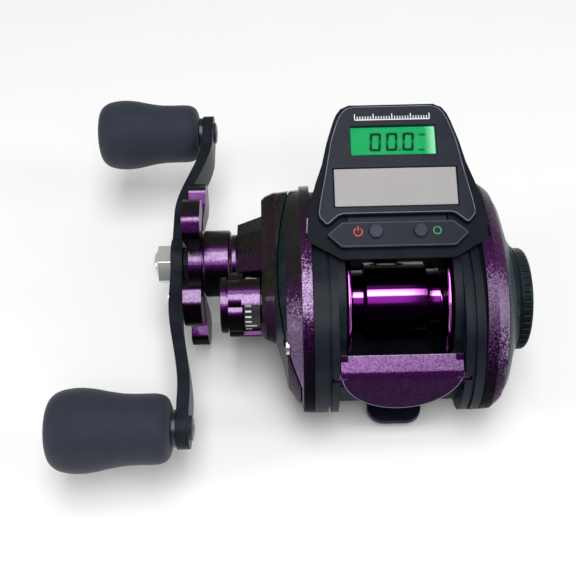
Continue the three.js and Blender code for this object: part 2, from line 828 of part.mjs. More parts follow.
function makeFrame() {
  const outer = sideOutline(0, frameTop);
  const groove = sideOutline(grooveDepth, frameTop);
  const pocket = sideOutline(rimWall, frameTop);
  const parts = [];
  for (const side of [-1, 1]) {
    const at = (out) => side * out;
    const rimEnd = side > 0 ? palmRimOuter : rimOuter;
    const rim = cut(
      prismX(outer, at(rimInner), at(rimEnd)),
      prismX(pocket, at(rimInner - overrun), at(rimEnd + overrun)),
    );
    const wall = cut(
      prismX(groove, at(plateOuter - snugGap), at(rimInner + snugGap)),
      prismX(pocket, at(plateOuter), at(rimEnd)),
    );
    parts.push(prismX(outer, at(plateInner), at(plateOuter)), wall, rim);
    const lip = tubeX(lipInnerRadius, lipInnerRadius + lipThickness, lipReach, plateInner + snugGap);
    parts.push(side > 0 ? lip : moved(lip, new THREE.Matrix4().makeRotationZ(Math.PI)));
  }
  const deck = [
    [-deckRear + overrun, deckRearTop], [-deckRear, deckRearTop - overrun], [-deckRear, deckRearLow],
    [-deckUnderRear, deckSeat], [deckUnderFront, deckSeat], [deckFront, deckFloorTop],
    [deckFront, deckFrontTop], [deckStepForward, deckFrontTop], [deckStepForward, deckFloorTop],
    [0, deckFloorTop], [0, deckRearTop],
  ];
  const reach = plateInner + snugGap;
  parts.push(prismX(deck, -reach, reach));
  const barLow = crossBarTop - crossBarThickness;
  parts.push(box(-reach, reach, crossBarRear, crossBarFront, barLow, crossBarTop));
  let frame = joined(...parts);
  const post = yokePostSpacing / 2;
  const well = rodX(lipInnerRadius, -plateInner, plateOuter + overrun, 0, 0, fineSides);
  const through = plateOuter + overrun;
  const wormBore = bushingRadius + snugGap;
  const barForward = wormAxisForward - guideBarRearward;
  const barRise = guideBarRise - wormAxisDrop;
  frame = cut(
    frame,
    well,
    rodX(bearingOuterRadius + snugGap, -plateInner - snugGap, -through, 0, 0, roundSides),
    rodX(spoolShaftRadius + 4 * runningGap, -plateInner + overrun, -through),
    rodX(driveBearingOuterRadius + snugGap, -(plateOuter - driveBearingWidth - snugGap), -through,
      driveAxisForward, -driveAxisDrop),
    rodX(wormBore, -plateInner + overrun, -through, wormAxisForward, -wormAxisDrop, smallSides),
    rodX(wormBore, plateInner - overrun, through, wormAxisForward, -wormAxisDrop, smallSides),
    rodX(guideBarRadius + snugGap, -through, through, barForward, barRise, smallSides),
    makeThumbSlots(),
    makeDisplayEnvelope(),
  );
  for (const place of footScrewPlaces()) {
    const bottom = deckSeat - overrun;
    const top = deckSeat + footScrewLength;
    frame = cut(frame, rodZ(footScrewRadius + snugGap, bottom, top, 0, place, smallSides));
  }
  const posts = [-post, post].map((rise) => (
    rodX(yokePostRadius, -plateOuter + snugGap, -yokePostEnd, 0, rise, smallSides)
  ));
  return joined(frame, ...posts);
}

function makeThumbSlots() {
  const middle = thumbRear - thumbWall / 2;
  const half = thumbTabWidth / 2 + runningGap;
  const slot = (from, to) => box(
    Math.min(from, to), Math.max(from, to), -middle - half, -middle + half,
    -thumbTabHeight / 2 - thumbTravel - runningGap, thumbTabHeight / 2 + runningGap,
  );
  const from = plateInner - overrun;
  const to = plateOuter + snugGap;
  return joined(slot(from, to), slot(-from, -to));
}

// The space under the housing that the side plates and covers leave free
function makeDisplayEnvelope() {
  const low = -panelThickness - deckPlateThickness - runningGap;
  const wings = prismZ(housingOutline(runningGap), low, sideTop);
  return moved(wings, displayMatrix);
}

function makeThumbBar() {
  const lip = thumbLipForward;
  const profile = [
    [-lip, thumbLipRise - snugGap], [-lip - snugGap, thumbLipRise],
    [-thumbRear + 1.2 * thumbWall / 2, thumbLipRise - thumbPadDrop],
    [-thumbRear, thumbLipRise - thumbCornerDrop], [-thumbRear, -thumbBottom],
    [-thumbRear + thumbWall, -thumbBottom], [-thumbRear + thumbWall, 0],
    [-lip, thumbLipRise - thumbPadDrop],
  ];
  const blank = prismX(profile, -thumbHalfWidth, thumbHalfWidth);
  const sag = thumbBottom - thumbSideBottom;
  const radius = (thumbHalfWidth ** 2 + sag ** 2) / (2 * sag);
  const arc = rodY(radius, -thumbRear - overrun, -lip + overrun, 0, radius - thumbBottom, 2 * fineSides);
  const ear = [
    [-lip, thumbLipRise - thumbEarRise], [-lip - thumbWall / 2, thumbLipRise + thumbEarRise],
    [-lip - thumbWall, thumbLipRise - thumbEarRise],
  ];
  const tabMiddle = thumbRear - thumbWall / 2;
  const tab = (from, to) => box(
    from, to, -tabMiddle - thumbTabWidth / 2, -tabMiddle + thumbTabWidth / 2,
    -thumbTabHeight / 2, thumbTabHeight / 2,
  );
  const end = thumbHalfWidth + thumbTabLength;
  return joined(
    blank.intersect(arc),
    prismX(ear, thumbHalfWidth - thumbEarWidth, thumbHalfWidth),
    prismX(ear, -thumbHalfWidth, -thumbHalfWidth + thumbEarWidth),
    tab(thumbHalfWidth - thumbTabLength, end),
    tab(-end, -thumbHalfWidth + thumbTabLength),
  );
}

// The whole handle-side shell before it is split into two covers
function makeHandleShell() {
  const belt = beltRing(gearBoxRoundRadius, gearBoxSpoolRadius);
  const nearBelt = beltRing(gearBoxRoundRadius + coverStripStep, gearBoxSpoolRadius + coverStripStep);
  const endBelt = beltRing(gearBoxRoundRadius - coverStripStep, gearBoxSpoolRadius - coverStripStep);
  const step = coverStripStep;
  const shoulder = shellShares.map(([place, inset, turn]) => ({
    out: coverStripOut + place * coverStripWidth,
    ring: blendRing(sideRing(inset * step), nearBelt, turn),
  }));
  const stations = [
    { out: coverInner, ring: sideRing(0) },
    ...shoulder,
    { out: gearBoxFaceOut - step, ring: belt },
    { out: gearBoxFaceOut, ring: endBelt },
  ];
  const cavity = [
    { out: coverInner - overrun, ring: sideRing(coverWall) },
    { out: coverStripOut, ring: sideRing(coverWall) },
    { out: coverCavityOut, ring: sideRing(coverWall + coverCavityInset) },
  ];
  const boss = cut(
    turnedX([
      [-bossEndOut, 0], [-bossEndOut, bossEndRadius], [-gearBoxFaceOut + step, bossBaseRadius],
      [-gearBoxFaceOut + step, 0],
    ], driveAxisForward, -driveAxisDrop, bossSides),
    rodX(castBodyRadius + 1.5 * runningGap, -gearBoxFaceOut, -bossEndOut - overrun),
  );
  const spoolBoss = rodX(spoolBossRadius, -gearBoxFaceOut + step, -spoolBossEnd);
  const shell = joined(loftX(mirroredStations(stations)), boss, spoolBoss);
  return cut(
    shell,
    loftX(mirroredStations(cavity)),
    rodX(sleeveRadius + 2 * runningGap, -coverCavityOut + overrun, -bossEndOut - overrun,
      driveAxisForward, -driveAxisDrop),
    rodX(oneWayOuterRadius + snugGap, -coverCavityOut + overrun, -(oneWayOut + oneWayWidth),
      driveAxisForward, -driveAxisDrop),
    rodX(spoolBossBore, -coverCavityOut + overrun, -(castRingOut - runningGap)),
    rodX(endBearingOuterRadius + snugGap, -coverCavityOut, -spoolBossEnd - overrun),
    makeDisplayEnvelope(),
  );
}

// A big roller whose side is the bowed seam between the two covers
function seamRoller(grow) {
  const radius = seamRadius + grow;
  const far = 2 * sideFront;
  const roller = new THREE.CylinderGeometry(radius, radius, 2 * far, seamSides).rotateX(viewTilt);
  roller.translate(
    seamRadius - seamOut, seamRise * Math.sin(viewTilt), -seamRise * Math.cos(viewTilt),
  );
  const strip = box(-coverStripOut - seamStripReach - grow, 0, -far, far, -far, far);
  return joined(solidOf(roller), strip);
}

function makeHandleCovers() {
  const shell = makeHandleShell();
  const screwSpot = [-coverScrewRear, coverScrewRise];
  const screwHead = rodX(
    coverScrewRadius + runningGap, -(coverScrewOut - coverScrewHeadDepth), -gearBoxFaceOut,
    ...screwSpot, smallSides,
  );
  const screwStem = rodX(
    coverScrewStemRadius + snugGap, -(coverScrewOut - coverScrewLength - overrun), -gearBoxFaceOut,
    ...screwSpot, smallSides,
  );
  const side = cut(shell.intersect(seamRoller(-splitGap / 2)), screwHead, screwStem);
  const gearBox = cut(shell, seamRoller(splitGap / 2));
  return { side, gearBox: cut(gearBox, screwHead) };
}

function makeCoverScrew() {
  const spot = [-coverScrewRear, coverScrewRise];
  const head = coverScrewOut - coverScrewHeadDepth + snugGap;
  return joined(
    rodX(coverScrewRadius, -head, -head - coverScrewHeadDepth, ...spot, smallSides),
    rodX(coverScrewStemRadius, -(coverScrewOut - coverScrewLength), -head - snugGap, ...spot, smallSides),
  );
}

function palmRings() {
  const disc = beltlessRing(palmDomeRadius);
  const step = coverStripStep;
  const rim = palmRimShares.map(([place, inset]) => ({
    x: palmCoverInner + place * (palmSplit - palmCoverInner),
    ring: sideRing(inset * step),
  }));
  const cap = palmCapShares.map(([place, inset, turn]) => ({
    x: palmSplit + place * (palmDomeEnd - palmSplit),
    ring: blendRing(sideRing(inset * step), disc, turn),
  }));
  return [...rim, ...cap];
}

// A plain disc about the spool axis as a ring of rays
function beltlessRing(radius) {
  const outline = [];
  for (let i = 0; i < ringPoints; i += 1) {
    const angle = (2 * Math.PI * i) / ringPoints;
    outline.push([radius * Math.cos(angle), radius * Math.sin(angle)]);
  }
  return rayRing(outline);
}

function makePalmCovers() {
  const dome = loftX(palmRings());
  const inside = loftX([
    { x: palmCoverInner - overrun, ring: sideRing(coverWall) },
    { x: palmStripOut, ring: sideRing(coverWall) },
    { x: palmCavityEnd, ring: sideRing(coverWall + 2 * coverStripStep) },
  ]);
  const split = palmSplit;
  const far = 2 * dialRadius + palmSplit;
  const innerHalf = box(0, split - snugGap, -far, far, -far, far);
  const outerHalf = box(split + snugGap, far, -far, far, -far, far);
  const plug = cut(
    rodX(palmPlugRadius, palmPlugInner, palmCoverInner + overrun, 0, 0, fineSides),
    rodX(palmPlugRadius - palmPlugWall, palmPlugInner - overrun, palmCavityEnd, 0, 0, fineSides),
  );
  const flangeWeb = cut(
    prismX(sideOutline(coverWall / 2), palmCoverInner, palmCoverInner + overrun),
    rodX(palmPlugRadius - overrun, palmCoverInner - overrun, palmCavityEnd, 0, 0, fineSides),
  );
  const webRadius = palmPlugRadius - palmPlugWall / 2;
  const web = rodX(webRadius, palmWebFrom, palmWebFrom + palmWebThickness, 0, 0, fineSides);
  const boss = rodX(palmBossRadius, palmBossFrom, palmBossEnd);
  let cover = joined(cut(dome.intersect(innerHalf), inside), plug, flangeWeb, web, boss);
  cover = cut(
    cover,
    rodX(endBearingOuterRadius + snugGap, palmBossFrom - overrun, palmBossEnd + overrun, 0, 0, smallSides),
    rodX(camRadius + runningGap, palmCavityEnd - overrun, palmSplit + overrun, 0, 0, roundSides),
    makeDisplayEnvelope(),
  );
  for (const [y, z] of magnetPostPlaces()) {
    const hole = magnetPostRadius + runningGap;
    const web0 = palmWebFrom - overrun;
    cover = cut(cover, rodX(hole, web0, palmWebFrom + palmWebThickness + overrun, y, z, smallSides));
  }
  const cap = cut(
    dome.intersect(outerHalf),
    rodX(camRadius + runningGap, palmSplit - overrun, palmSplit + camThickness, 0, 0, roundSides),
    rodX(dialSpindleRadius + runningGap, palmSplit, palmDomeEnd + overrun, 0, 0, smallSides),
    makeDisplayEnvelope(),
  );
  return { cover, cap };
}

function magnetPostPlaces() {
  const places = [];
  for (let i = 0; i < magnetPosts; i += 1) {
    const angle = (2 * Math.PI * i) / magnetPosts;
    places.push([magnetPostPlace * Math.cos(angle), magnetPostPlace * Math.sin(angle)]);
  }
  return places;
}

function makeMagnetRing() {
  const end = magnetRingFrom + magnetRingThickness;
  const ring = tubeX(magnetRingInner, magnetRingOuter, magnetRingFrom, end);
  const posts = magnetPostPlaces().map(([y, z]) => (
    rodX(magnetPostRadius, end - snugGap, camFrom - runningGap, y, z, smallSides)
  ));
  return joined(ring, ...posts);
}

function makeBrakeDial() {
  const end = dialFrom + dialWidth;
  const disc = turnedX([
    [dialFrom, 0], [dialFrom, dialRadius - snugGap], [dialFrom + snugGap, dialRadius],
    [end - dialRound, dialRadius], [end - dialRound / 3, dialRadius - dialRound / 3],
    [end, dialRadius - dialRound], [end, dialFaceRadius],
    [end - dialFaceDepth, dialFaceRadius - dialFaceDepth], [end - dialFaceDepth, 0],
  ], 0, 0, fineSides);
  const notches = [];
  for (let i = 0; i < dialRidges; i += 1) {
    const angle = (2 * Math.PI * (i + 0.5)) / dialRidges;
    const place = dialRadius + dialRidgeDepth;
    const [y, z] = [place * Math.cos(angle), place * Math.sin(angle)];
    notches.push(rodX(2 * dialRidgeDepth, dialFrom + dialRidgeDepth, end, y, z, notchSides));
  }
  return joined(
    cut(disc, ...notches),
    rodX(dialSpindleRadius, camFrom + snugGap, dialFrom + snugGap, 0, 0, smallSides),
    rodX(camRadius, camFrom, camFrom + camThickness),
  );
}

function makeSpool() {
  const flangeInner = spoolHalf - spoolFlangeThickness;
  const round = spoolFlangeRound;
  const barrel = spoolBarrelWidth / 2;
  const chamfer = spoolBarrelChamfer;
  const bore = spoolShaftCoreRadius + snugGap;
  const right = [
    [barrel - chamfer, spoolBarrelRadius], [barrel, spoolBarrelRadius - chamfer],
    [barrel, spoolStepRadius], [flangeInner, spoolStepRadius],
    [flangeInner, spoolFlangeRadius - round], [flangeInner + round, spoolFlangeRadius],
    [spoolHalf - round, spoolFlangeRadius], [spoolHalf, spoolFlangeRadius - round],
  ];
  const left = right.map(([x, radius]) => [-x, radius]).reverse();
  const hollow = spoolStepRadius - spoolWall;
  const inner = [
    [spoolHalf, hollow], [-flangeInner + spoolWall, hollow], [-flangeInner + spoolWall, spoolHubRadius],
    [spoolHubEnd, spoolHubRadius], [spoolHubEnd, bore], [-spoolHalf, bore],
  ];
  return turnedX([...left, ...right, ...inner, left[0]], 0, 0, fineSides);
}

function makeSpoolShaft() {
  const core = spoolHalf + spoolShaftCoreOverhang;
  const shaft = turnedX([
    [-(castRingOut + endBearingWidth), 0], [-(castRingOut + endBearingWidth), spoolShaftRadius],
    [-core, spoolShaftRadius], [-core, spoolShaftCoreRadius], [spoolHubEnd, spoolShaftCoreRadius],
    [spoolHubEnd, spoolShaftRadius], [spoolShaftEnd, spoolShaftRadius], [spoolShaftEnd, 0],
  ], 0, 0, smallSides);
  const reach = spoolShaftRadius + 3 * clutchPinRadius;
  const out = plateOuter + runningGap + clutchPinRadius;
  const pin = rodZ(clutchPinRadius, -reach, reach, -out, 0, smallSides);
  return joined(shaft, pin);
}

function makePinion() {
  const end = pinionToothOut + pinionToothLength;
  const turn = Math.atan2(-driveAxisDrop, driveAxisForward);
  const teeth = prismX(gearPoints(pinionTeeth, gearModule, turn), -pinionToothOut, -end);
  const barrel = joined(
    teeth,
    rodX(pinionGrooveRadius, -pinionGrooveOut + snugGap, -pinionToothOut - snugGap, 0, 0, smallSides),
    rodX(pinionFlangeRadius, -pinionOut, -pinionGrooveOut, 0, 0, smallSides),
  );
  const bore = spoolShaftRadius + runningGap;
  return cut(barrel, rodX(bore, -pinionOut + overrun, -end - overrun, 0, 0, smallSides));
}

function makeYoke() {
  const high = yokeHeight / 2;
  const wide = yokeWidth / 2;
  const hole = pinionGrooveRadius + runningGap;
  const plate = box(-yokeOut - yokeThickness, -yokeOut, -wide, wide, -high, high);
  const post = yokePostSpacing / 2;
  const from = -yokeOut + overrun;
  const to = -yokeOut - yokeThickness - overrun;
  return cut(
    plate,
    rodX(hole, from, to, 0, 0, smallSides),
    box(to, from, -wide - overrun, 0, -hole, hole),
    rodX(yokePostRadius + runningGap, from, to, 0, post, smallSides),
    rodX(yokePostRadius + runningGap, from, to, 0, -post, smallSides),
  );
}

// The gear turned so that one of its gaps faces the mating tooth
function makeDriveGear() {
  const turn = Math.atan2(driveAxisDrop, -driveAxisForward) - handleTilt;
  const points = gearPoints(driveTeeth, gearModule, turn + Math.PI / driveTeeth);
  const blank = prismX(points, -driveGearOut, -driveGearEnd);
  return cut(
    blank,
    rodX(driveShaftCoreRadius + runningGap, -driveGearOut + overrun, -driveGearEnd - overrun),
    rodX(driveGearRecessRadius, -firstWasherOut, -driveGearEnd - overrun),
  );
}

function makeWormDriveGear() {
  const turn = Math.atan2(driveAxisDrop - wormAxisDrop, wormAxisForward - driveAxisForward) - handleTilt;
  const points = gearPoints(wormDriveTeeth, wormModule, turn + Math.PI / wormDriveTeeth);
  const end = wormGearOut + wormGearWidth;
  return cut(
    prismX(points, -wormGearOut, -end),
    rodX(driveShaftInnerRadius + runningGap, -wormGearOut + overrun, -end - overrun, 0, 0, smallSides),
  );
}

function makeWormGear() {
  const turn = Math.atan2(wormAxisDrop - driveAxisDrop, driveAxisForward - wormAxisForward);
  const end = wormGearOut + wormGearWidth;
  const gear = cut(
    prismX(gearPoints(wormTeeth, wormModule, turn), -wormGearOut, -end),
    rodX(wormJournalRadius + snugGap, -wormGearOut + overrun, -end - overrun, 0, 0, smallSides),
  );
  return moved(gear, new THREE.Matrix4().makeTranslation(0, wormAxisForward, -wormAxisDrop));
}

function makeDriveShaft() {
  const inner = plateOuter - driveBearingWidth;
  return turnedX([
    [-driveShaftTip, 0], [-driveShaftTip, driveShaftRadius], [-sleeveOut, driveShaftRadius],
    [-sleeveOut, driveShaftCoreRadius], [-shaftFlangeOut - shaftFlangeThickness, driveShaftCoreRadius],
    [-shaftFlangeOut - shaftFlangeThickness, shaftFlangeRadius], [-shaftFlangeOut, shaftFlangeRadius],
    [-shaftFlangeOut, driveShaftInnerRadius], [-inner, driveShaftInnerRadius], [-inner, 0],
  ]);
}

// The worm shaft carries one right-hand and one left-hand thread that cross
function makeWormShaft() {
  const inner = wormJournalInner;
  const left = wormGearOut + wormGearWidth;
  const right = plateOuter - snugGap;
  const rings = [];
  const threadRadius = (x, angle) => {
    const phase = (wormTurns * Math.PI * (x + inner)) / inner;
    let depth = 0;
    for (const hand of [-1, 1]) {
      const off = Math.abs(Math.atan2(Math.sin(hand * phase - angle), Math.cos(hand * phase - angle)));
      const away = (off * inner) / (wormTurns * Math.PI);
      depth = Math.max(depth, wormGrooveDepth * Math.max(0, 1 - (away / wormGrooveWidth) ** 2));
    }
    return wormRadius - depth;
  };
  for (let step = 0; step <= wormSteps; step += 1) {
    const x = -inner + (2 * inner * step) / wormSteps;
    const ring = [];
    for (let i = 0; i < wormSides; i += 1) {
      const angle = (2 * Math.PI * i) / wormSides;
      const radius = threadRadius(x, angle);
      ring.push([radius * Math.cos(angle), radius * Math.sin(angle)]);
    }
    rings.push({ x, ring });
  }
  return moved(
    joined(
      loftX(rings),
      rodX(wormJournalRadius, -left, -inner + snugGap, 0, 0, smallSides),
      rodX(wormJournalRadius, inner - snugGap, right, 0, 0, smallSides),
    ),
    new THREE.Matrix4().makeTranslation(0, wormAxisForward, -wormAxisDrop),
  );
}

function makeLineGuide() {
  const half = guideWidth / 2;
  const ringRise = guideRingRise - wormAxisDrop;
  const low = -wormAxisDrop - guideBelow;
  const high = ringRise - guideRingInnerRadius;
  const block = box(-half, half, wormAxisForward - guideRear, wormAxisForward + guideFront, low, high);
  const rear = wormAxisForward - guideRingLength / 2;
  const front = wormAxisForward + guideRingLength / 2;
  const holder = rodY(guideRingHolderRadius, rear, front, 0, ringRise);
  const seat = rodY(guideRingOuterRadius + snugGap, rear - overrun, front + overrun, 0, ringRise);
  const barForward = wormAxisForward - guideBarRearward;
  const barRise = guideBarRise - wormAxisDrop;
  const from = -half - overrun;
  return cut(
    joined(block, holder),
    seat,
    rodX(wormRadius + runningGap, from, -from, wormAxisForward, -wormAxisDrop, smallSides),
    rodX(guideBarRadius + runningGap, from, -from, barForward, barRise, smallSides),
  );
}

function makeGuideRing() {
  const ringRise = guideRingRise - wormAxisDrop;
  const half = guideRingLength / 2 + guideRingLip;
  const lip = guideRingLip;
  const flat = half - lip;
  const profile = [
    [-half, guideRingInnerRadius + lip], [-half, guideRingOuterRadius - lip / 2],
    [-flat, guideRingOuterRadius], [flat, guideRingOuterRadius],
    [half, guideRingOuterRadius - lip / 2], [half, guideRingInnerRadius + lip],
    [flat, guideRingInnerRadius], [-flat, guideRingInnerRadius], [-half, guideRingInnerRadius + lip],
  ];
  const points = profile.map(([y, radius]) => new THREE.Vector2(radius, y));
  const geometry = new THREE.LatheGeometry(points, fineSides);
  return solidOf(geometry.translate(0, wormAxisForward, ringRise));
}

function makeStarDrag() {
  const sleeve = turnedX([
    [-starSleeveEnd, driveShaftRadius + runningGap], [-starSleeveEnd, starSleeveRadius - starChamfer],
    [-starSleeveEnd + starChamfer, starSleeveRadius], [-starOut - starChamfer, starSleeveRadius],
    [-starOut, starSleeveRadius - starChamfer], [-starOut, driveShaftRadius + runningGap],
    [-starSleeveEnd, driveShaftRadius + runningGap],
  ]);
  const tipEnd = starTipOut + starTipThickness;
  const thinTo = starTipRadius * starThinShare;
  const thickFrom = starTipRadius * starThickShare;
  const edge = [
    [driveShaftRadius + overrun, starRootOut], [thinTo, starRootOut], [thickFrom, starTipOut],
    [starTipRadius - starChamfer, starTipOut], [starTipRadius, starTipOut + starChamfer],
    [starTipRadius, tipEnd - starChamfer], [starTipRadius - starChamfer, tipEnd],
    [thickFrom, tipEnd], [thinTo, starHubEnd], [driveShaftRadius + overrun, starHubEnd],
  ];
  const shape = new THREE.Shape(edge.map(([radius, out]) => new THREE.Vector2(-out, radius)));
  const depth = 2 * starTipRadius;
  const band = new THREE.ExtrudeGeometry(shape, { depth, bevelEnabled: false });
  const half = starArmShares.map(([reach, across]) => [starTipRadius * reach, starTipRadius * across]);
  const plan = [...half, ...half.map(([reach, across]) => [reach, -across]).reverse()];
  const arm = solidOf(band.translate(0, 0, -depth / 2))
    .intersect(prismX(plan, -starTipOut + overrun, -tipEnd - overrun));
  const parts = [sleeve];
  for (let i = 0; i < starArms; i += 1) {
    const angle = viewTilt + (2 * Math.PI * (i + 0.5)) / starArms;
    parts.push(moved(arm, new THREE.Matrix4().makeRotationX(angle)));
  }
  parts.push(rodX(starHubRadius, -starRootOut, -starHubEnd, 0, 0, fineSides));
  parts.push(rodX(starCoreRadius, -starSleeveEnd + overrun, -starHubEnd));
  const bore = rodX(driveShaftRadius + runningGap, -starOut + overrun, -starHubEnd - overrun);
  return cut(joined(...parts), bore);
}

// The arm's inner face: its front end bends farther in than its rear end
function armInnerOut(along) {
  const share = THREE.MathUtils.smoothstep(Math.abs(along), armFlatHalf, armBendEnd);
  return armHubOut - (along > 0 ? frontArmSweep : rearArmSweep) * share;
}

function armHalfWidth(along) {
  const reach = Math.abs(along);
  const share = THREE.MathUtils.smoothstep(reach, armHubRadius, armRadius - armEndRadius);
  let half = armWaistHalf + (armEndRadius - armWaistHalf) * share;
  if (reach < armHubRadius) half = Math.max(half, Math.sqrt(armHubRadius ** 2 - reach ** 2));
  if (reach > armRadius) half = Math.sqrt(Math.max(0, armEndRadius ** 2 - (reach - armRadius) ** 2));
  return half;
}

function makeHandleArm() {
  const reach = armRadius + armEndRadius;
  const top = [];
  for (let i = 0; i <= armSteps; i += 1) {
    const along = reach * Math.sin(Math.PI * (i / armSteps - 0.5));
    top.push([along, armHalfWidth(along)]);
  }
  const places = [];
  for (let i = 0; i <= armBendSteps; i += 1) {
    places.push(armFlatHalf + ((armBendEnd - armFlatHalf) * i) / armBendSteps);
  }
  places.push(reach);
  const side = [...places.map((along) => -along).reverse(), ...places]
    .map((along) => [along, armInnerOut(along)]);
  const bottom = top.slice(1, -1).map(([along, half]) => [along, -half]).reverse();
  const from = -frontArmOut + overrun;
  const to = -nutOut - overrun;
  const plan = prismX([...top, ...bottom], from, to);
  const outer = side.map(([along, out]) => [along, out + armThickness]).reverse();
  const edge = new THREE.Shape([...side, ...outer].map(([along, out]) => new THREE.Vector2(-out, along)));
  const depth = 4 * armHubRadius;
  const band = new THREE.ExtrudeGeometry(edge, { depth, bevelEnabled: false });
  const arm = solidOf(band.translate(0, 0, -depth / 2)).intersect(plan);
  return cut(
    arm,
    rodX(driveShaftRadius + snugGap, from, to),
    rodX(knobShaftRadius + runningGap, from, to, armRadius),
    rodX(knobShaftRadius + runningGap, from, to, -armRadius),
    rodX(retainerStemRadius + snugGap, from, to, -retainerPlace, 0, smallSides),
  );
}

function makeNut() {
  const hex = [];
  const corner = nutAcrossFlats / 2 / Math.cos(Math.PI / nutSides);
  for (let i = 0; i < nutSides; i += 1) {
    const angle = (2 * Math.PI * i) / nutSides;
    hex.push([corner * Math.cos(angle), corner * Math.sin(angle)]);
  }
  const base = nutOut + nutHeight;
  const cap = [[-base - nutCapHeight, 0]];
  for (let i = 1; i <= nutCapSteps; i += 1) {
    const angle = (0.5 * Math.PI * i) / nutCapSteps;
    cap.push([-base - nutCapHeight * Math.cos(angle), nutCapRadius * Math.sin(angle)]);
  }
  cap.push([-base + snugGap, nutCapRadius], [-base + snugGap, 0]);
  return cut(
    joined(prismX(hex, -nutOut, -base), turnedX(cap, 0, 0, smallSides)),
    rodX(driveShaftRadius + snugGap, -nutOut + overrun, -nutOut - nutBoreDepth),
  );
}

function makeRetainer() {
  const inner = armHubOut + snugGap;
  return joined(
    rodX(retainerHeadRadius, -nutOut, -nutOut - retainerHeadHeight, -retainerPlace, 0, smallSides),
    rodX(retainerStemRadius, -inner, -nutOut - snugGap, -retainerPlace, 0, smallSides),
  );
}

// Where a knob starts and ends on an arm whose end has its inner face at armOut
function knobSpan(armOut) {
  const knobOut = armOut + armThickness + knobCollarWidth + runningGap;
  return { knobOut, knobEnd: knobOut + knobLength };
}

function makeKnob(armOut) {
  const { knobOut, knobEnd } = knobSpan(armOut);
  const outer = knobProfileShares.map(([along, out]) => (
    [-(knobOut + along * knobLength), out * knobRadius]
  ));
  const capSeat = knobEnd - knobCapThickness - knobCapRecess;
  const cap = knobCapRadius + snugGap;
  return turnedX([
    [-knobOut, knobBoreRadius], ...outer, [-knobEnd, cap], [-capSeat, cap],
    [-capSeat, knobBoreRadius], [-knobOut, knobBoreRadius],
  ].reverse(), 0, 0, roundSides);
}

function makeKnobShaft(armOut) {
  const inner = armOut - knobRivetHeight;
  const collar = armOut + armThickness;
  const end = knobSpan(armOut).knobEnd - knobCapThickness - knobCapRecess - runningGap;
  return turnedX([
    [-end, 0], [-end, knobShaftRadius], [-collar - knobCollarWidth, knobShaftRadius],
    [-collar - knobCollarWidth, knobCollarRadius], [-collar, knobCollarRadius],
    [-collar, knobShaftRadius], [-armOut, knobShaftRadius], [-armOut, knobRivetRadius],
    [-inner, knobRivetRadius - knobRivetHeight / 2], [-inner, 0],
  ], 0, 0, smallSides);
}

function makeKnobCap(armOut) {
  const out = knobSpan(armOut).knobEnd - knobCapRecess;
  return turnedX([
    [-out, 0], [-out, knobCapRadius - snugGap], [-out + snugGap, knobCapRadius],
    [-out + knobCapThickness, knobCapRadius], [-out + knobCapThickness, 0],
  ]);
}

function makeCastRing() {
  return tubeX(castRingInner, castRingRadius, -castRingOut - castRingWidth, -castRingOut);
}

function makeCastKnob() {
  const bodyFrom = castRingOut + castRingWidth + runningGap;
  const outline = [];
  for (let i = 0; i < 2 * fineSides; i += 1) {
    const angle = (Math.PI * i) / fineSides;
    const wave = Math.abs(Math.cos((castLobes * (angle - viewTilt + castWingHalfAngle)) / 2));
    const radius = castBodyRadius - castLobeDepth * (1 - wave) ** 2;
    outline.push([radius * Math.cos(angle), radius * Math.sin(angle)]);
  }
  const rimFrom = castRimEnd - castRimWidth;
  const parts = [
    prismX(outline, -bodyFrom, -castBodyEnd),
    rodX(castRimWaist, -castBodyEnd + snugGap, -rimFrom - snugGap),
    turnedX([
      [-castRimEnd, 0], [-castRimEnd, castRimRadius - snugGap], [-castRimEnd + snugGap, castRimRadius],
      [-rimFrom, castRimRadius], [-rimFrom, 0],
    ]),
  ];
  for (let i = 0; i < castWings; i += 1) {
    const middle = viewTilt - castWingHalfAngle + (2 * Math.PI * i) / castWings;
    const points = [];
    for (let j = 0; j <= wingSteps; j += 1) {
      const angle = middle + castWingHalfAngle * ((2 * j) / wingSteps - 1);
      points.push([castBodyRadius * Math.cos(angle), castBodyRadius * Math.sin(angle)]);
    }
    for (let j = wingSteps; j >= 0; j -= 1) {
      const angle = middle + castWingHalfAngle * ((2 * j) / wingSteps - 1);
      const inner = castBodyRadius - castWingThickness;
      points.push([inner * Math.cos(angle), inner * Math.sin(angle)]);
    }
    parts.push(prismX(points, -castRingOut, -bodyFrom - snugGap));
  }
  const bore = rodX(spoolBossRadius + runningGap, -castRingOut, -castBoreEnd);
  return cut(joined(...parts), bore);
}

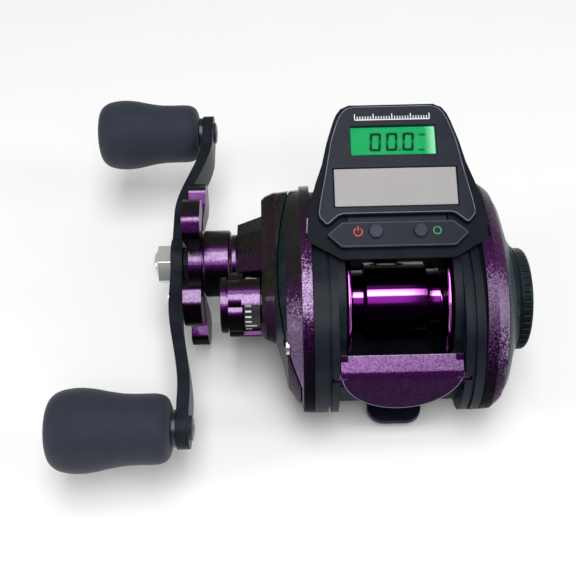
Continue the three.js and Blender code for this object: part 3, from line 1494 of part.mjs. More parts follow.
function makeHousing() {
  const seat = -panelThickness;
  const deckLow = seat - deckPlateThickness;
  const deckPlate = prismZ(housingOutline(), deckLow, seat);
  const side = [
    [housingFront - blockInset, deckLow + overrun], [housingFront - blockInset, -blockFrontDrop],
    [blockKnee, -blockKneeDrop], [blockFoot, -blockFootDrop], [housingRear, -blockFootDrop],
    [housingRear, deckLow + overrun],
  ].map(([along, rise]) => [-along, rise]);
  const block = prismX(side, -sideFront, sideFront)
    .intersect(prismZ(housingOutline(-blockInset), -sideFront, seat - snugGap));
  const inRow = (solid) => moved(solid, displayInverse);
  const plates = [];
  for (const sign of [-1, 1]) {
    const at = (out) => sign * out;
    const rimEnd = sign > 0 ? palmRimOuter : rimOuter;
    const outline = sideOutline(-runningGap, frameTop);
    plates.push(inRow(prismX(outline, at(plateInner - runningGap), at(rimEnd + runningGap))));
    const cover = sideOutline(-runningGap);
    plates.push(inRow(prismX(cover, at(rimEnd - snugGap), at(sideFront))));
  }
  const bar = box(
    -plateInner, plateInner, crossBarRear - runningGap, crossBarFront + runningGap,
    crossBarTop - 2 * crossBarThickness, crossBarTop,
  );
  const well = rodX(lipInnerRadius + lipThickness + runningGap, -sideFront, sideFront, 0, 0, fineSides);
  const body = cut(block, ...plates, inRow(bar), inRow(well));
  const pocket = box(-pocketHalf, pocketHalf, -pocketRear, -pocketFront, -pocketDepth, overrun);
  const cell = rodZ(cellRadius + runningGap, -cellPocketDepth, overrun, 0, -cellPlace);
  return cut(joined(body, cut(deckPlate, inRow(well))), pocket, cell);
}

function makePanel() {
  const plate = prismZ(panelOutline(), -panelThickness, 0);
  const lcdOpening = box(
    -lcdHalf - windowGap, lcdHalf + windowGap, -lcdFront - lcdLength - windowGap, -lcdFront + windowGap,
    -panelThickness - overrun, overrun,
  );
  const solarSeat = box(
    -solarHalf - windowGap, solarHalf + windowGap, -solarFront - solarLength - windowGap,
    -solarFront + windowGap, -solarRecess, overrun,
  );
  return cut(plate, lcdOpening, solarSeat);
}

function makeButtonPlate() {
  const outline = mirrored([
    [buttonPlateFrontHalf, buttonPlateFront], [buttonPlateHalf, buttonPlateMiddle],
    [buttonPlateRearHalf, buttonPlateRear],
  ]);
  const holes = [-1, 1].map((side) => (
    rodZ(buttonRadius + runningGap / 2, -panelThickness - overrun, overrun,
      (side * buttonSpacing) / 2, -buttonPlace, smallSides)
  ));
  const half = pocketHalf - boardMargin;
  const top = -panelThickness - tongueDrop;
  const tongue = box(-half, half, -tongueRear, -tongueFront, top - tongueThickness, top);
  const riserFrom = tongueRear - snugGap - tongueRiserWidth;
  const riser = box(
    -half + overrun, half - overrun, -riserFrom - tongueRiserWidth, -riserFrom,
    top - tongueThickness, -panelThickness / 2,
  );
  return joined(cut(prismZ(outline, -panelThickness, 0), ...holes), tongue, riser);
}

function makeButton(side) {
  const flangeTop = -panelThickness - snugGap;
  const flangeLow = flangeTop - buttonFlangeThickness;
  const profile = [
    [0, -buttonStemEnd], [buttonRadius / 2, -buttonStemEnd], [buttonRadius / 2, flangeLow],
    [buttonFlangeRadius, flangeLow], [buttonFlangeRadius, flangeTop], [buttonRadius, flangeTop],
    [buttonRadius, buttonHeight - buttonRound], [buttonRadius - buttonRound, buttonHeight],
    [0, buttonHeight],
  ].map(([radius, rise]) => new THREE.Vector2(radius, rise));
  const geometry = new THREE.LatheGeometry(profile, smallSides).rotateX(Math.PI / 2);
  return solidOf(geometry.translate((side * buttonSpacing) / 2, -buttonPlace, 0));
}

function makeBoard() {
  const half = pocketHalf - boardMargin;
  const low = -pocketDepth;
  return box(-half, half, -pocketRear + boardMargin, -pocketFront - boardMargin, low, low + boardThickness);
}

function makeLcd() {
  const half = lcdHalf + lcdMargin;
  const low = -pocketDepth + boardThickness;
  const rear = -lcdFront - lcdLength - lcdMargin;
  return box(-half, half, rear, -lcdFront + lcdMargin, low, -panelThickness);
}

function makeWindow() {
  const low = -panelThickness;
  return box(-lcdHalf, lcdHalf, -lcdFront - lcdLength, -lcdFront, low, low + windowThickness);
}

function makeSolar() {
  const low = -solarRecess;
  const rear = -solarFront - solarLength;
  return box(-solarHalf, solarHalf, rear, -solarFront, low, low + solarThickness);
}

function makeCell() {
  const low = -cellPocketDepth;
  return rodZ(cellRadius, low, low + cellHeight, 0, -cellPlace);
}

// Root body
const covers = makeHandleCovers();
const palm = makePalmCovers();
const [rearScrewPlace, frontScrewPlace] = footScrewPlaces();
place(reel, 'frame', makeFrame(), materials.matteBlack);
place(reel, 'reel_foot', makeFoot(), materials.matteBlack);
place(reel, 'foot_screw_front', makeFootScrew(frontScrewPlace), materials.steel);
place(reel, 'foot_screw_rear', makeFootScrew(rearScrewPlace), materials.steel);
place(reel, 'handle_side_cover', covers.side, materials.shiftPaint);
place(reel, 'gear_box_cover', covers.gearBox, materials.darkPaint);
place(reel, 'cover_screw', makeCoverScrew(), materials.steel);
place(reel, 'palm_side_cover', palm.cover, materials.shiftPaint);
place(reel, 'palm_side_cap', palm.cap, materials.teal);
place(display, 'display_housing', makeHousing(), materials.housing);
place(display, 'display_panel', makePanel(), materials.panel);
place(display, 'lcd_window', makeWindow(), materials.glass);
place(display, 'lcd_screen', makeLcd(), materials.lcd);
place(display, 'solar_cell', makeSolar(), materials.solar);
place(display, 'button_plate', makeButtonPlate(), materials.panel);
place(display, 'circuit_board', makeBoard(), materials.board);
place(display, 'rechargeable_cell', makeCell(), materials.steel);
place(reel, 'spool_bearing_left', tubeX(
  spoolShaftRadius + snugGap, bearingOuterRadius, -plateOuter + snugGap,
  -plateOuter + snugGap + bearingWidth, 0, 0, smallSides,
), materials.steel);
place(reel, 'spool_bearing_right', tubeX(
  spoolShaftRadius + snugGap, endBearingOuterRadius, palmWebFrom, palmWebFrom + endBearingWidth,
  0, 0, smallSides,
), materials.steel);
place(reel, 'spool_bearing_end', tubeX(
  spoolShaftRadius + snugGap, endBearingOuterRadius, -castRingOut - endBearingWidth, -castRingOut,
  0, 0, smallSides,
), materials.steel);
place(reel, 'drive_shaft_bearing', tubeX(
  driveShaftInnerRadius + snugGap, driveBearingOuterRadius, -plateOuter, -plateOuter + driveBearingWidth,
  driveAxisForward, -driveAxisDrop,
), materials.steel);
place(reel, 'one_way_bearing', tubeX(
  sleeveRadius + runningGap, oneWayOuterRadius, -oneWayOut - oneWayWidth + snugGap, -oneWayOut,
  driveAxisForward, -driveAxisDrop,
), materials.steel);
place(reel, 'worm_bushing_left', tubeX(
  wormJournalRadius + snugGap, bushingRadius, -plateOuter, -plateInner,
  wormAxisForward, -wormAxisDrop, smallSides,
), materials.brass);
place(reel, 'worm_bushing_right', tubeX(
  wormJournalRadius + snugGap, bushingRadius, plateInner, plateOuter,
  wormAxisForward, -wormAxisDrop, smallSides,
), materials.brass);
place(reel, 'guide_bar', rodX(
  guideBarRadius, -plateOuter + snugGap, plateOuter - snugGap,
  wormAxisForward - guideBarRearward, guideBarRise - wormAxisDrop, smallSides,
), materials.steel);

// Spool
const counterOut = -spoolHalf - counterRingThickness;
place(reel, 'spool', makeSpool(), materials.anodised);
place(reel, 'spool_shaft', makeSpoolShaft(), materials.steel);
place(reel, 'counter_magnet_ring', tubeX(
  counterRingInner, counterRingOuter, counterOut, -spoolHalf,
), materials.magnet);

// Clutch and thumb bar
place(reel, 'thumb_bar', makeThumbBar(), materials.shiftPaint);
place(reel, 'clutch_yoke', makeYoke(), materials.brass);
place(reel, 'pinion_gear', makePinion(), materials.brass);

// Line guide
place(reel, 'worm_shaft', makeWormShaft(), materials.steel);
place(reel, 'worm_gear', makeWormGear(), materials.brass);
place(reel, 'line_guide', makeLineGuide(), materials.matteBlack);
place(reel, 'line_guide_ring', makeGuideRing(), materials.ceramic);

// Brake and cast control
place(reel, 'brake_dial', makeBrakeDial(), materials.teal);
place(reel, 'brake_magnet_ring', makeMagnetRing(), materials.magnet);
place(reel, 'cast_control_knob', makeCastKnob(), materials.purpleMetal);
place(reel, 'cast_control_ring', makeCastRing(), materials.carbon);

// Buttons
place(display, 'power_button', makeButton(-1), materials.button);
place(display, 'set_button', makeButton(1), materials.button);

// Handle and what turns with it
place(handle, 'drive_shaft', makeDriveShaft(), materials.steel);
place(handle, 'drive_gear', makeDriveGear(), materials.brass);
place(handle, 'worm_drive_gear', makeWormDriveGear(), materials.brass);
place(handle, 'drag_washer_carbon', tubeX(
  driveShaftCoreRadius + snugGap, dragWasherRadius, -secondWasherOut, -firstWasherOut,
), materials.carbon);
place(handle, 'drag_washer_metal', tubeX(
  driveShaftCoreRadius + snugGap, dragWasherRadius, -pressurePlateOut, -secondWasherOut,
), materials.steel);
place(handle, 'drag_pressure_plate', tubeX(
  driveShaftCoreRadius + snugGap, dragWasherRadius, -sleeveOut, -pressurePlateOut,
), materials.steel);
place(handle, 'one_way_sleeve', tubeX(
  driveShaftRadius + snugGap, sleeveRadius, -bossEndOut, -sleeveOut,
), materials.steel);
place(handle, 'drag_spacer', tubeX(
  driveShaftRadius + snugGap, dragSpacerRadius, -dragSpacerOut - dragSpacerWidth, -dragSpacerOut,
), materials.purpleMetal);
place(handle, 'thrust_spacer', tubeX(
  driveShaftRadius + snugGap, thrustSpacerRadius, -armHubOut, -thrustSpacerOut,
), materials.matteBlack);
place(handle, 'handle_arm', makeHandleArm(), materials.matteBlack);
place(handle, 'handle_nut', makeNut(), materials.steel);
place(handle, 'nut_retainer_screw', makeRetainer(), materials.steel);
place(drive, 'star_drag', makeStarDrag(), materials.purpleMetal);

// Knobs
for (const [name, side, armOut] of [['front', 1, frontArmOut], ['rear', -1, rearArmOut]]) {
  const end = new THREE.Group();
  end.position.set(0, side * armRadius, 0);
  handle.add(end);
  place(end, `${name}_knob_shaft`, makeKnobShaft(armOut), materials.steel);
  place(end, `${name}_knob`, makeKnob(armOut), materials.grip);
  place(end, `${name}_knob_cap`, makeKnobCap(armOut), materials.darkPaint);
}

export default root;
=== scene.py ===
# %% [markdown]
# # A casting reel with a line counter
#
# The object is a low-profile fishing reel. A black frame carries a purple
# spool, painted covers close both sides, a crank with two knobs stands on the
# left and a tilted display with a solar cell roofs the front. The packed model
# already has every part as a faceted solid, on the body that it moves with.
# This lesson dresses it: fine shapes stand in for the faceted ones that show,
# and every surface gets a finish made of nodes.

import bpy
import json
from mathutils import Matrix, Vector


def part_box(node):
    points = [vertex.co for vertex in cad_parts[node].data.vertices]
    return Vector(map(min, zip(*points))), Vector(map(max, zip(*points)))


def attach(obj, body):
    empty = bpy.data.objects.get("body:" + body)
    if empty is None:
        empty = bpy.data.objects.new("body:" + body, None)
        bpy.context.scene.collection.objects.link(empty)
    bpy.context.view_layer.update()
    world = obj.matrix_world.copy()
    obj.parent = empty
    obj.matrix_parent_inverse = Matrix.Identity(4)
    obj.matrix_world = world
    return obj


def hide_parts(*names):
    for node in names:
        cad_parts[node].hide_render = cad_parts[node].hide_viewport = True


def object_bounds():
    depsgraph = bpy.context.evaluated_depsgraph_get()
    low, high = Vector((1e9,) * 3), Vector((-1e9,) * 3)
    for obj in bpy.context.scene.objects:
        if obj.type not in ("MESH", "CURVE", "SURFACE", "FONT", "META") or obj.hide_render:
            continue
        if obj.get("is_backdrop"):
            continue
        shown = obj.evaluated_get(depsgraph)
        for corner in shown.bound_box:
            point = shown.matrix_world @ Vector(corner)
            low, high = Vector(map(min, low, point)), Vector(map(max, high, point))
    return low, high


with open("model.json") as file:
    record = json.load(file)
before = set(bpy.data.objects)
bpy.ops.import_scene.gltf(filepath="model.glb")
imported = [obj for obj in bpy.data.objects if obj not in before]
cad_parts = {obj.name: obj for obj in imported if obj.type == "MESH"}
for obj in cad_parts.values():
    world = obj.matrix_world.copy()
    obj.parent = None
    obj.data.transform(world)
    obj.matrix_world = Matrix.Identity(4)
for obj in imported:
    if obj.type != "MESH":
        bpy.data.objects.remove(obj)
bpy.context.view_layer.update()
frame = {"nodes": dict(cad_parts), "record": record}
nodes = frame["nodes"]

# %% [markdown]
# A drawing of a reel counts its millimetres from the spool's axis, so this
# script does too. A matrix moves such a drawing to its place over the foot, and
# only a finished piece is scaled to the metres of the shared frame, because
# booleans are surer on larger numbers. The display has a tilted drawing plane of
# its own, and the crank turns about the drive shaft, so both get a matrix as
# well. The axes are read from the solids, which keeps the fine shapes on them.

# %% Drawing planes
import json
import math

import bmesh
import bpy
from mathutils import Matrix, Vector

MM = 0.001
HANDLE_TILT = math.radians(4.6)
DISPLAY_TILT = math.radians(24.2)
DISPLAY_FORWARD = 35.9
DISPLAY_RISE = 37.9


def middle_of(node):
    low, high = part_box(node)
    return (low + high) / (2 * MM)


spool_middle = middle_of("spool")
REEL = Matrix.Translation((0, spool_middle.y, spool_middle.z))


def drawn(node):
    """Where a node's middle lies on the reel's drawing, as (y, z)."""
    spot = REEL.inverted() @ middle_of(node)
    return spot.y, spot.z


DRIVE_AT = drawn("one_way_sleeve")
WORM_AT = drawn("worm_bushing_left")
DRIVE = REEL @ Matrix.Translation((0, *DRIVE_AT))
HANDLE = DRIVE @ Matrix.Rotation(HANDLE_TILT, 4, "X")
DISPLAY = (
    REEL @ Matrix.Translation((0, DISPLAY_FORWARD, DISPLAY_RISE))
    @ Matrix.Rotation(DISPLAY_TILT, 4, "X")
)
print("drive axis at", [round(v, 2) for v in DRIVE_AT], "worm axis at", [round(v, 2) for v in WORM_AT])

# %% [markdown]
# Finishes are written as sums. One small class holds a socket, and an operator
# between two of them adds a Math node, which keeps a recipe as short as its
# formula. Colours go through Mix and directions through Vector Math, because a
# Math node would turn a colour grey.

# %% The socket class
class Wire:
    """The value on one socket of a finish."""

    def __init__(self, finish, socket):
        self.finish = finish
        self.socket = socket

    def math(self, operation, *values):
        return self.finish.node("ShaderNodeMath", {"operation": operation}, values)

    def __add__(self, other):
        return self.math("ADD", self, other)

    def __sub__(self, other):
        return self.math("SUBTRACT", self, other)

    def __rsub__(self, other):
        return self.math("SUBTRACT", other, self)

    def __mul__(self, other):
        return self.math("MULTIPLY", self, other)

    __radd__ = __add__
    __rmul__ = __mul__


print("a wire knows", [name for name in vars(Wire) if name.startswith("__r")])

# %% The finish class
class Finish:
    """A material with one main shader, and short ways to add nodes to it."""

    def __init__(self, name, **constants):
        self.material = bpy.data.materials.new(name)
        self.material.use_nodes = True
        self.tree = self.material.node_tree
        self.tree.nodes.clear()
        self.shader = self.tree.nodes.new("ShaderNodeBsdfPrincipled")
        self.output = self.tree.nodes.new("ShaderNodeOutputMaterial")
        self.tree.links.new(self.shader.outputs[0], self.output.inputs[0])
        self.give(**constants)

    def give(self, **values):
        """Sets or links sockets of the shader: base_color stands for Base Color."""
        for name, value in values.items():
            socket = name.replace("_", " ").title().replace("Ior", "IOR")
            self.put(self.shader.inputs[socket], value)

    def put(self, socket, value):
        if isinstance(value, Wire):
            self.tree.links.new(value.socket, socket)
        else:
            socket.default_value = value

    def node(self, kind, settings=None, values=(), out=0):
        made = self.tree.nodes.new(kind)
        for name, value in (settings or {}).items():
            if name == "stops":
                ramp = made.color_ramp.elements
                while len(ramp) < len(value):
                    ramp.new(1)
                for stop, (place, colour) in zip(ramp, value):
                    stop.position = place
                    stop.color = colour
            else:
                setattr(made, name, value)
        pairs = values.items() if isinstance(values, dict) else enumerate(values)
        for key, value in pairs:
            self.put(made.inputs[key], value)
        return Wire(self, made.outputs[out])

    def vector(self, operation, values, out="Vector"):
        return self.node("ShaderNodeVectorMath", {"operation": operation}, values, out)

    def place(self, stretch=(1, 1, 1)):
        """The spot on the piece in millimetres, stretched along the axes."""
        spot = self.node("ShaderNodeTexCoord", out="Object")
        return self.vector("MULTIPLY", (spot, [part / MM for part in stretch]))

    def noise(self, size, stretch=(1, 1, 1), detail=2.0):
        values = {"Vector": self.place(stretch), "Scale": 1 / size, "Detail": detail}
        return self.node("ShaderNodeTexNoise", values=values)

    def between(self, value, low, high):
        """A value from 0 to 1 laid between two numbers."""
        return value * (high - low) + low

    def fade(self, value, low, high):
        """0 below low, 1 above high, and a smooth step between."""
        settings = {"interpolation_type": "SMOOTHSTEP"}
        return self.node("ShaderNodeMapRange", settings, (value, low, high))

    def blend(self, factor, first, second, mode="MIX"):
        """Two colours mixed. For colours, the node uses inputs 0, 6 and 7 and output 2."""
        settings = {"data_type": "RGBA", "blend_type": mode}
        return self.node("ShaderNodeMix", settings, {0: factor, 6: first, 7: second}, 2)

    def ramp(self, place, run):
        """The colour at a place from 0 to 1 on a run of paint codes."""
        stops = [(spot, tone(code)) for spot, code in run]
        return self.node("ShaderNodeValToRGB", {"stops": stops}, (place,))

    def bump(self, height, depth, strength=1.0):
        values = {"Height": height, "Distance": depth * MM, "Strength": strength}
        return self.node("ShaderNodeBump", values=values)

    def facing(self, direction):
        """How far the surface faces along a direction, from -1 to 1."""
        normal = self.node("ShaderNodeTexCoord", out="Normal")
        return self.vector("DOT_PRODUCT", (normal, direction), "Value")


print("a finish has", sum(callable(part) for part in vars(Finish).values()), "methods")

# %% [markdown]
# A paint chart gives a colour as six digits for a screen. Shaders count in
# light, so every such code is turned into linear values first. That way a
# colour renders about as the chart shows it.

# %% Colours from the chart
def tone(code):
    """A chart's colour as linear values, by the constants of the sRGB standard."""
    parts = [int(code[i:i + 2], 16) / 255 for i in (0, 2, 4)]
    linear = [part / 12.92 if part <= 0.04045 else ((part + 0.055) / 1.055) ** 2.4 for part in parts]
    return (*linear, 1)


print("mid grey on the chart is", [round(part, 3) for part in tone("808080")])

# %% [markdown]
# Most parts have a quiet finish: moulded plastic, satin paint, turned metal.
# One recipe serves them all. Broad noise shifts the colour a little, fine noise
# shifts the roughness and raises a grain, and a stretch turns the grain into
# the brushing or turning marks of a metal.

# %% Quiet finishes
PATCHES = (0.3, 0.7)     # the part of the broad noise that turns one colour into the other
TURNED = (6, 0.5, 0.5)   # the stretch that draws noise out into turning marks
BROAD = 6.0              # the size of the patches in millimetres


def quiet(name, first, second, rough, grain=0.25, depth=0.004, stretch=(1, 1, 1), **constants):
    finish = Finish(name, **constants)
    fine = finish.noise(grain, stretch)
    wide = finish.noise(BROAD)
    finish.give(
        base_color=finish.blend(finish.fade(wide, *PATCHES), tone(first), tone(second)),
        roughness=finish.between(fine, *rough),
        normal=finish.bump(fine, depth),
    )
    return finish.material


DULL_SHINE = {"specular_ior_level": 0.1}
finishes = {
    "frame_black": quiet("frame_black", "0e131d", "161c29", (0.35, 0.5), specular_ior_level=0.15),
    "display_black": quiet(
        "display_black", "0e1118", "141822", (0.35, 0.5), grain=0.18, depth=0.006, specular_ior_level=0.06,
    ),
    "panel_gloss": quiet("panel_gloss", "141824", "181d2b", (0.25, 0.35), 0.5, 0.001, **DULL_SHINE),
    "button_grey": quiet("button_grey", "3a3e4a", "454956", (0.6, 0.75), 0.15, **DULL_SHINE),
    "board": quiet("board", "1c5a34", "26743f", (0.4, 0.6)),
    "steel": quiet("steel", "b4b6ba", "c6c8cc", (0.18, 0.32), stretch=TURNED, metallic=1.0),
    "dark_steel": quiet("dark_steel", "33363d", "42464e", (0.2, 0.35), stretch=TURNED, metallic=0.8),
    "chrome": quiet("chrome", "dcdcdc", "ececea", (0.08, 0.16), 0.5, 0.001, metallic=0.75),
    "brass": quiet("brass", "a87f3d", "bf9650", (0.2, 0.35), stretch=TURNED, metallic=1.0),
    "magnet": quiet("magnet", "686b70", "7c7f85", (0.25, 0.4), metallic=0.8),
    "ceramic": quiet("ceramic", "34373f", "3d414a", (0.1, 0.2), 0.8, 0.001),
    "ring_black": quiet("ring_black", "131417", "1b1c20", (0.35, 0.55), 0.12),
    "arm_black": quiet("arm_black", "171a21", "20242d", (0.28, 0.42), 0.2, specular_ior_level=0.08),
    # The two edge finishes are the pale greys of painted highlights along glossy edges.
    "edge_light": quiet("edge_light", "6f7687", "7f8798", (0.35, 0.5), **DULL_SHINE),
    "edge_dim": quiet("edge_dim", "4c5260", "5a6170", (0.35, 0.5), **DULL_SHINE),
    "white_print": quiet("white_print", "e2e4e8", "f0f1f4", (0.5, 0.6)),
    "red_print": quiet("red_print", "c5352c", "d84a3a", (0.5, 0.6)),
    "green_print": quiet("green_print", "1f8f5a", "2aa56a", (0.5, 0.6)),
    "counter_ink": quiet("counter_ink", "052a1a", "073320", (0.5, 0.6), specular_ior_level=0.02),
}
print(len(finishes), "quiet finishes")

# %% [markdown]
# The covers wear a colour-shift paint: metal flakes in a lacquer that runs from
# black at the rear over purple and lavender to olive where it looks forward,
# and to teal where it looks outward. A colour ramp over the direction of the
# surface holds that run, and with it painted light: the black at the rear and
# underneath is painted shade, the lavender bands are painted highlights of the
# broad lamp, and the olive and teal are partly the paint's own shift and partly
# painted reflection of the room. The flakes are the cells of a Voronoi texture.
# Each cell tips the normal a little, so the flakes catch a lamp one by one and
# the colours meet along a ragged, sparkling line. The colour doesn't follow the
# camera, which keeps it in place from all sides.

# %% Flake paints with painted light
FLAKE = 0.34
FLAKE_MIDDLE = (0.5, 0.5, 0.5)
FORWARD, UPWARD, OUTWARD = (0, 1, 0), (0, 0, 1), (1, 0, 0)
LACQUER = {"roughness": 0.3, "coat_roughness": 0.06, "specular_ior_level": 0.02}
COAT = 0.3
# Each pair holds the two values of a direction between which the paint changes.
UNDERSIDE_SHADE = (-0.35, 0.15)
SLANT = (0.04, 0.25)
FLANK = (0.6, 0.92)
LIVELY = (0.08, 0.2)
DULL = 0.6


def flaked(name, run, slanted, below, outer, metallic=0.9, tip=0.2, spread=0.35):
    """Paint whose colour runs from the rear to the front, on round sides and on slanted ones, with painted
    highlights and reflections in the run and painted shade below.
    """
    finish = Finish(name, **LACQUER)
    cells = finish.node(
        "ShaderNodeTexVoronoi", values={"Vector": finish.place(), "Scale": 1 / FLAKE}, out="Color"
    )
    chance = finish.node("ShaderNodeSeparateColor", values=(cells,))
    centred = finish.vector("SUBTRACT", (cells, FLAKE_MIDDLE))
    tipped = finish.vector("SCALE", {0: centred, "Scale": tip})
    place = finish.vector("DOT_PRODUCT", (tipped, FORWARD), "Value") + finish.facing(FORWARD)
    place = place * 0.5 + 0.5    # 0 looks to the rear, 1 looks forward
    side = finish.facing(OUTWARD)
    slant = finish.fade(side * side, *SLANT)
    colour = finish.blend(slant, finish.ramp(place, run), finish.ramp(place, slanted))
    colour = finish.blend(finish.fade(side * side, *FLANK), colour, tone(outer))
    # Surfaces that look down take the colour below: painted shade.
    clear_of_painted_shade = finish.fade(finish.facing(UPWARD), *UNDERSIDE_SHADE)
    colour = finish.blend(clear_of_painted_shade, tone(below), colour)
    # Metal and coat fade out towards the rear and underneath, which keeps those parts dark.
    lively = finish.fade(place, *LIVELY) * clear_of_painted_shade * (1 - slant * DULL)
    level = finish.between(chance, 1 - spread, 1 + spread)
    shade = finish.node("ShaderNodeCombineColor", values=(level, level, level))
    normal = finish.node("ShaderNodeNewGeometry", out="Normal")
    finish.give(
        base_color=finish.blend(1.0, colour, shade, "MULTIPLY"),
        metallic=lively * metallic,
        coat_weight=lively * COAT,
        normal=finish.vector("NORMALIZE", (finish.vector("ADD", (normal, tipped)),)),
    )
    return finish.material


print("flakes are", FLAKE, "mm across")

# %% [markdown]
# A run is a list of stops: 0 is the colour that looks straight to the rear, 0.5
# the one that looks up, and 1 the one that looks forward. The round sides and
# the slanted facets of a cover reflect different parts of the room, so a cover
# has a run for each of them, and the runs paint those reflections into the colour.

# %% The runs of the paints, with their painted light
# In every run the near-black stops at the rear, also used as the colour below, are painted shade, and the
# pale lavender stops are painted highlights of the broad lamp. The teal run goes from painted shade at the
# rear to painted light at the front.
PAINTED_SHADE_BLACK, OUTER_TEAL = "07040a", "27363b"
COVER_RUN = [
    (0.0, PAINTED_SHADE_BLACK), (0.09, "120716"), (0.15, "3c0f45"), (0.2, "604a68"), (0.36, "6a5573"),
    (0.41, "4d1f55"), (0.54, "3a2138"), (0.63, "2a2a23"), (0.8, "232a26"), (1.0, "2b3a3f"),
]
FACET_RUN = [
    (0.0, "08060b"), (0.11, "140a18"), (0.16, "7a6486"), (0.27, "75607f"), (0.31, "42204c"),
    (0.38, "2a2226"), (0.6, "22231d"), (1.0, "27322f"),
]
BOX_RUN = [
    (0.0, "0a060c"), (0.05, "1d1022"), (0.1, "2c1830"), (0.3, "35222f"),
    (0.4, "2b2a22"), (0.7, "24281f"), (1.0, "27322f"),
]
PALM_RUN = [
    (0.0, PAINTED_SHADE_BLACK), (0.05, "120716"), (0.09, "3c0f45"), (0.13, "604a68"), (0.31, "6a5573"),
    (0.36, "4d1f55"), (0.5, "3f1f45"), (0.6, "2c2a2c"), (0.8, "28342f"), (1.0, "3a4a50"),
]
PALM_SLANT_RUN = [
    (0.0, PAINTED_SHADE_BLACK), (0.1, "1c0a22"), (0.14, "3c0f45"), (0.18, "85708f"), (0.33, "85708f"),
    (0.38, "4d1f55"), (0.5, "3f1f45"), (0.58, "2c2a2c"), (0.75, "28342f"), (1.0, "3a4a50"),
]
BAR_RUN = [
    (0.0, "2a0933"), (0.2, "3a0f45"), (0.36, "5c3a66"), (0.42, "b0a4b8"), (0.7, "aca0b4"), (1.0, "3a2138"),
]
TEAL_RUN = [(0.0, "0c1114"), (0.3, "1f272b"), (0.7, "303b40"), (1.0, "35434a")]
TURNED_RUN = [
    (0.0, "040205"), (0.1, "0a040c"), (0.14, "3a0c47"), (0.19, "4a1157"), (0.21, "6a5573"),
    (0.3, "6a5573"), (0.33, "3f0d4b"), (0.42, "35183a"), (0.5, "26241d"), (0.8, "1f231d"), (1.0, "252c2b"),
]
finishes |= {
    "shift_paint": flaked("shift_paint", COVER_RUN, FACET_RUN, PAINTED_SHADE_BLACK, OUTER_TEAL),
    "box_paint": flaked("box_paint", BOX_RUN, BOX_RUN, PAINTED_SHADE_BLACK, OUTER_TEAL, spread=0.25),
    "palm_paint": flaked("palm_paint", PALM_RUN, PALM_SLANT_RUN, PAINTED_SHADE_BLACK, OUTER_TEAL),
    "thumb_paint": flaked("thumb_paint", BAR_RUN, BAR_RUN, "22072a", "2a0d33", tip=0.25),
    "teal_paint": flaked("teal_paint", TEAL_RUN, TEAL_RUN, "0c1114", "4b5f66", 0.5, 0.08, 0.15),
    "knob_purple": flaked(
        "knob_purple", TURNED_RUN, TURNED_RUN, "040205", "1d1620", tip=0.05, spread=0.2
    ),
}
print(len(finishes), "finishes so far")

# %% [markdown]
# The spool is turned aluminium, polished and dyed purple. Its colour is painted
# light: a ramp over the direction of the surface paints the metal nearly black,
# with thin painted highlights where the lamps glint, one ramp for the barrel and
# one for the rims of the flanges. Fine rings round the axis come from noise that
# only changes with the distance along and from that axis.

# %% Dyed mirror metal with painted highlights
# Near-black stops are painted shade, and the pink and magenta stops are painted highlights, on the barrel
# and on the rims.
BARREL_RUN = [
    (0.0, "0c010e"), (0.13, "12021a"), (0.16, "3a0a42"), (0.235, "430c4c"), (0.25, "d884dc"),
    (0.3, "d05cd6"), (0.315, "1a0420"), (0.5, "0c010e"), (0.53, "6a2a70"), (0.56, "0c010e"),
    (1.0, "08010a"),
]
RIM_RUN = [
    (0.0, "12021a"), (0.04, "7a1482"), (0.12, "d884dc"), (0.38, "d05cd6"), (0.46, "3a0a42"),
    (1.0, "12021a"),
]
RIM_RADIUS = (14.6, 15.4)
RING_GRAIN = 0.5
RING_STRETCH = (8, 0.2, 0.2)
RING_DEPTH = 0.002
MIRROR_ROUGH = (0.1, 0.18)


def mirror_with_painted_glints(name, barrel, rim):
    """Polished dyed metal whose colour runs round the spool, one way on its barrel, one on its rims, as
    painted highlights on painted shade.
    """
    finish = Finish(name, metallic=1.0)
    rings = finish.noise(RING_GRAIN, RING_STRETCH)
    place = finish.facing(FORWARD) * 0.5 + 0.5
    on_axis = (0, spool_middle.y, spool_middle.z)
    spoke = finish.vector("SUBTRACT", (finish.place((0, 1, 1)), on_axis))
    on_rim = finish.fade(finish.vector("LENGTH", (spoke,), "Value"), *RIM_RADIUS)
    finish.give(
        base_color=finish.blend(on_rim, finish.ramp(place, barrel), finish.ramp(place, rim)),
        roughness=finish.between(rings, *MIRROR_ROUGH),
        normal=finish.bump(rings, RING_DEPTH),
    )
    return finish.material


finishes["spool_purple"] = mirror_with_painted_glints("spool_purple", BARREL_RUN, RIM_RUN)
print("rims begin", RIM_RADIUS[0], "mm from the axis")

# %% [markdown]
# The knobs are soft closed-cell foam. Their skin is matt with a fine grain and
# a soft edge light, so the recipe is a rough base, a small bump and some sheen.
# Cut pores could be modelled, but on this skin they are finer than the meshes.

# %% Foam
PORE, PORE_DEPTH, PORE_STRENGTH = 0.22, 0.02, 0.6
FOAM_PATCH = 4.0
FOAM_ROUGH = (0.62, 0.77)


def foam(name):
    finish = Finish(name, sheen_weight=0.1, sheen_roughness=0.5, specular_ior_level=0.25)
    pores = finish.noise(PORE, detail=4.0)
    finish.give(
        base_color=finish.blend(finish.noise(FOAM_PATCH), tone("222733"), tone("2a303d")),
        roughness=finish.between(pores, *FOAM_ROUGH),
        normal=finish.bump(pores, PORE_DEPTH, PORE_STRENGTH),
    )
    return finish.material


finishes["grip"] = foam("grip")
print("pores are", PORE, "mm across")

# %% [markdown]
# The counter glows: a lamp at its right end lights a green diffuser, which is
# why that end is nearly white. The solar cell is warm grey with hair-thin
# contact lines under clear resin, and the window over the counter is a thin
# clear sheet. A low alpha makes that sheet, because it lets the glow through
# without the noise that real refraction brings.

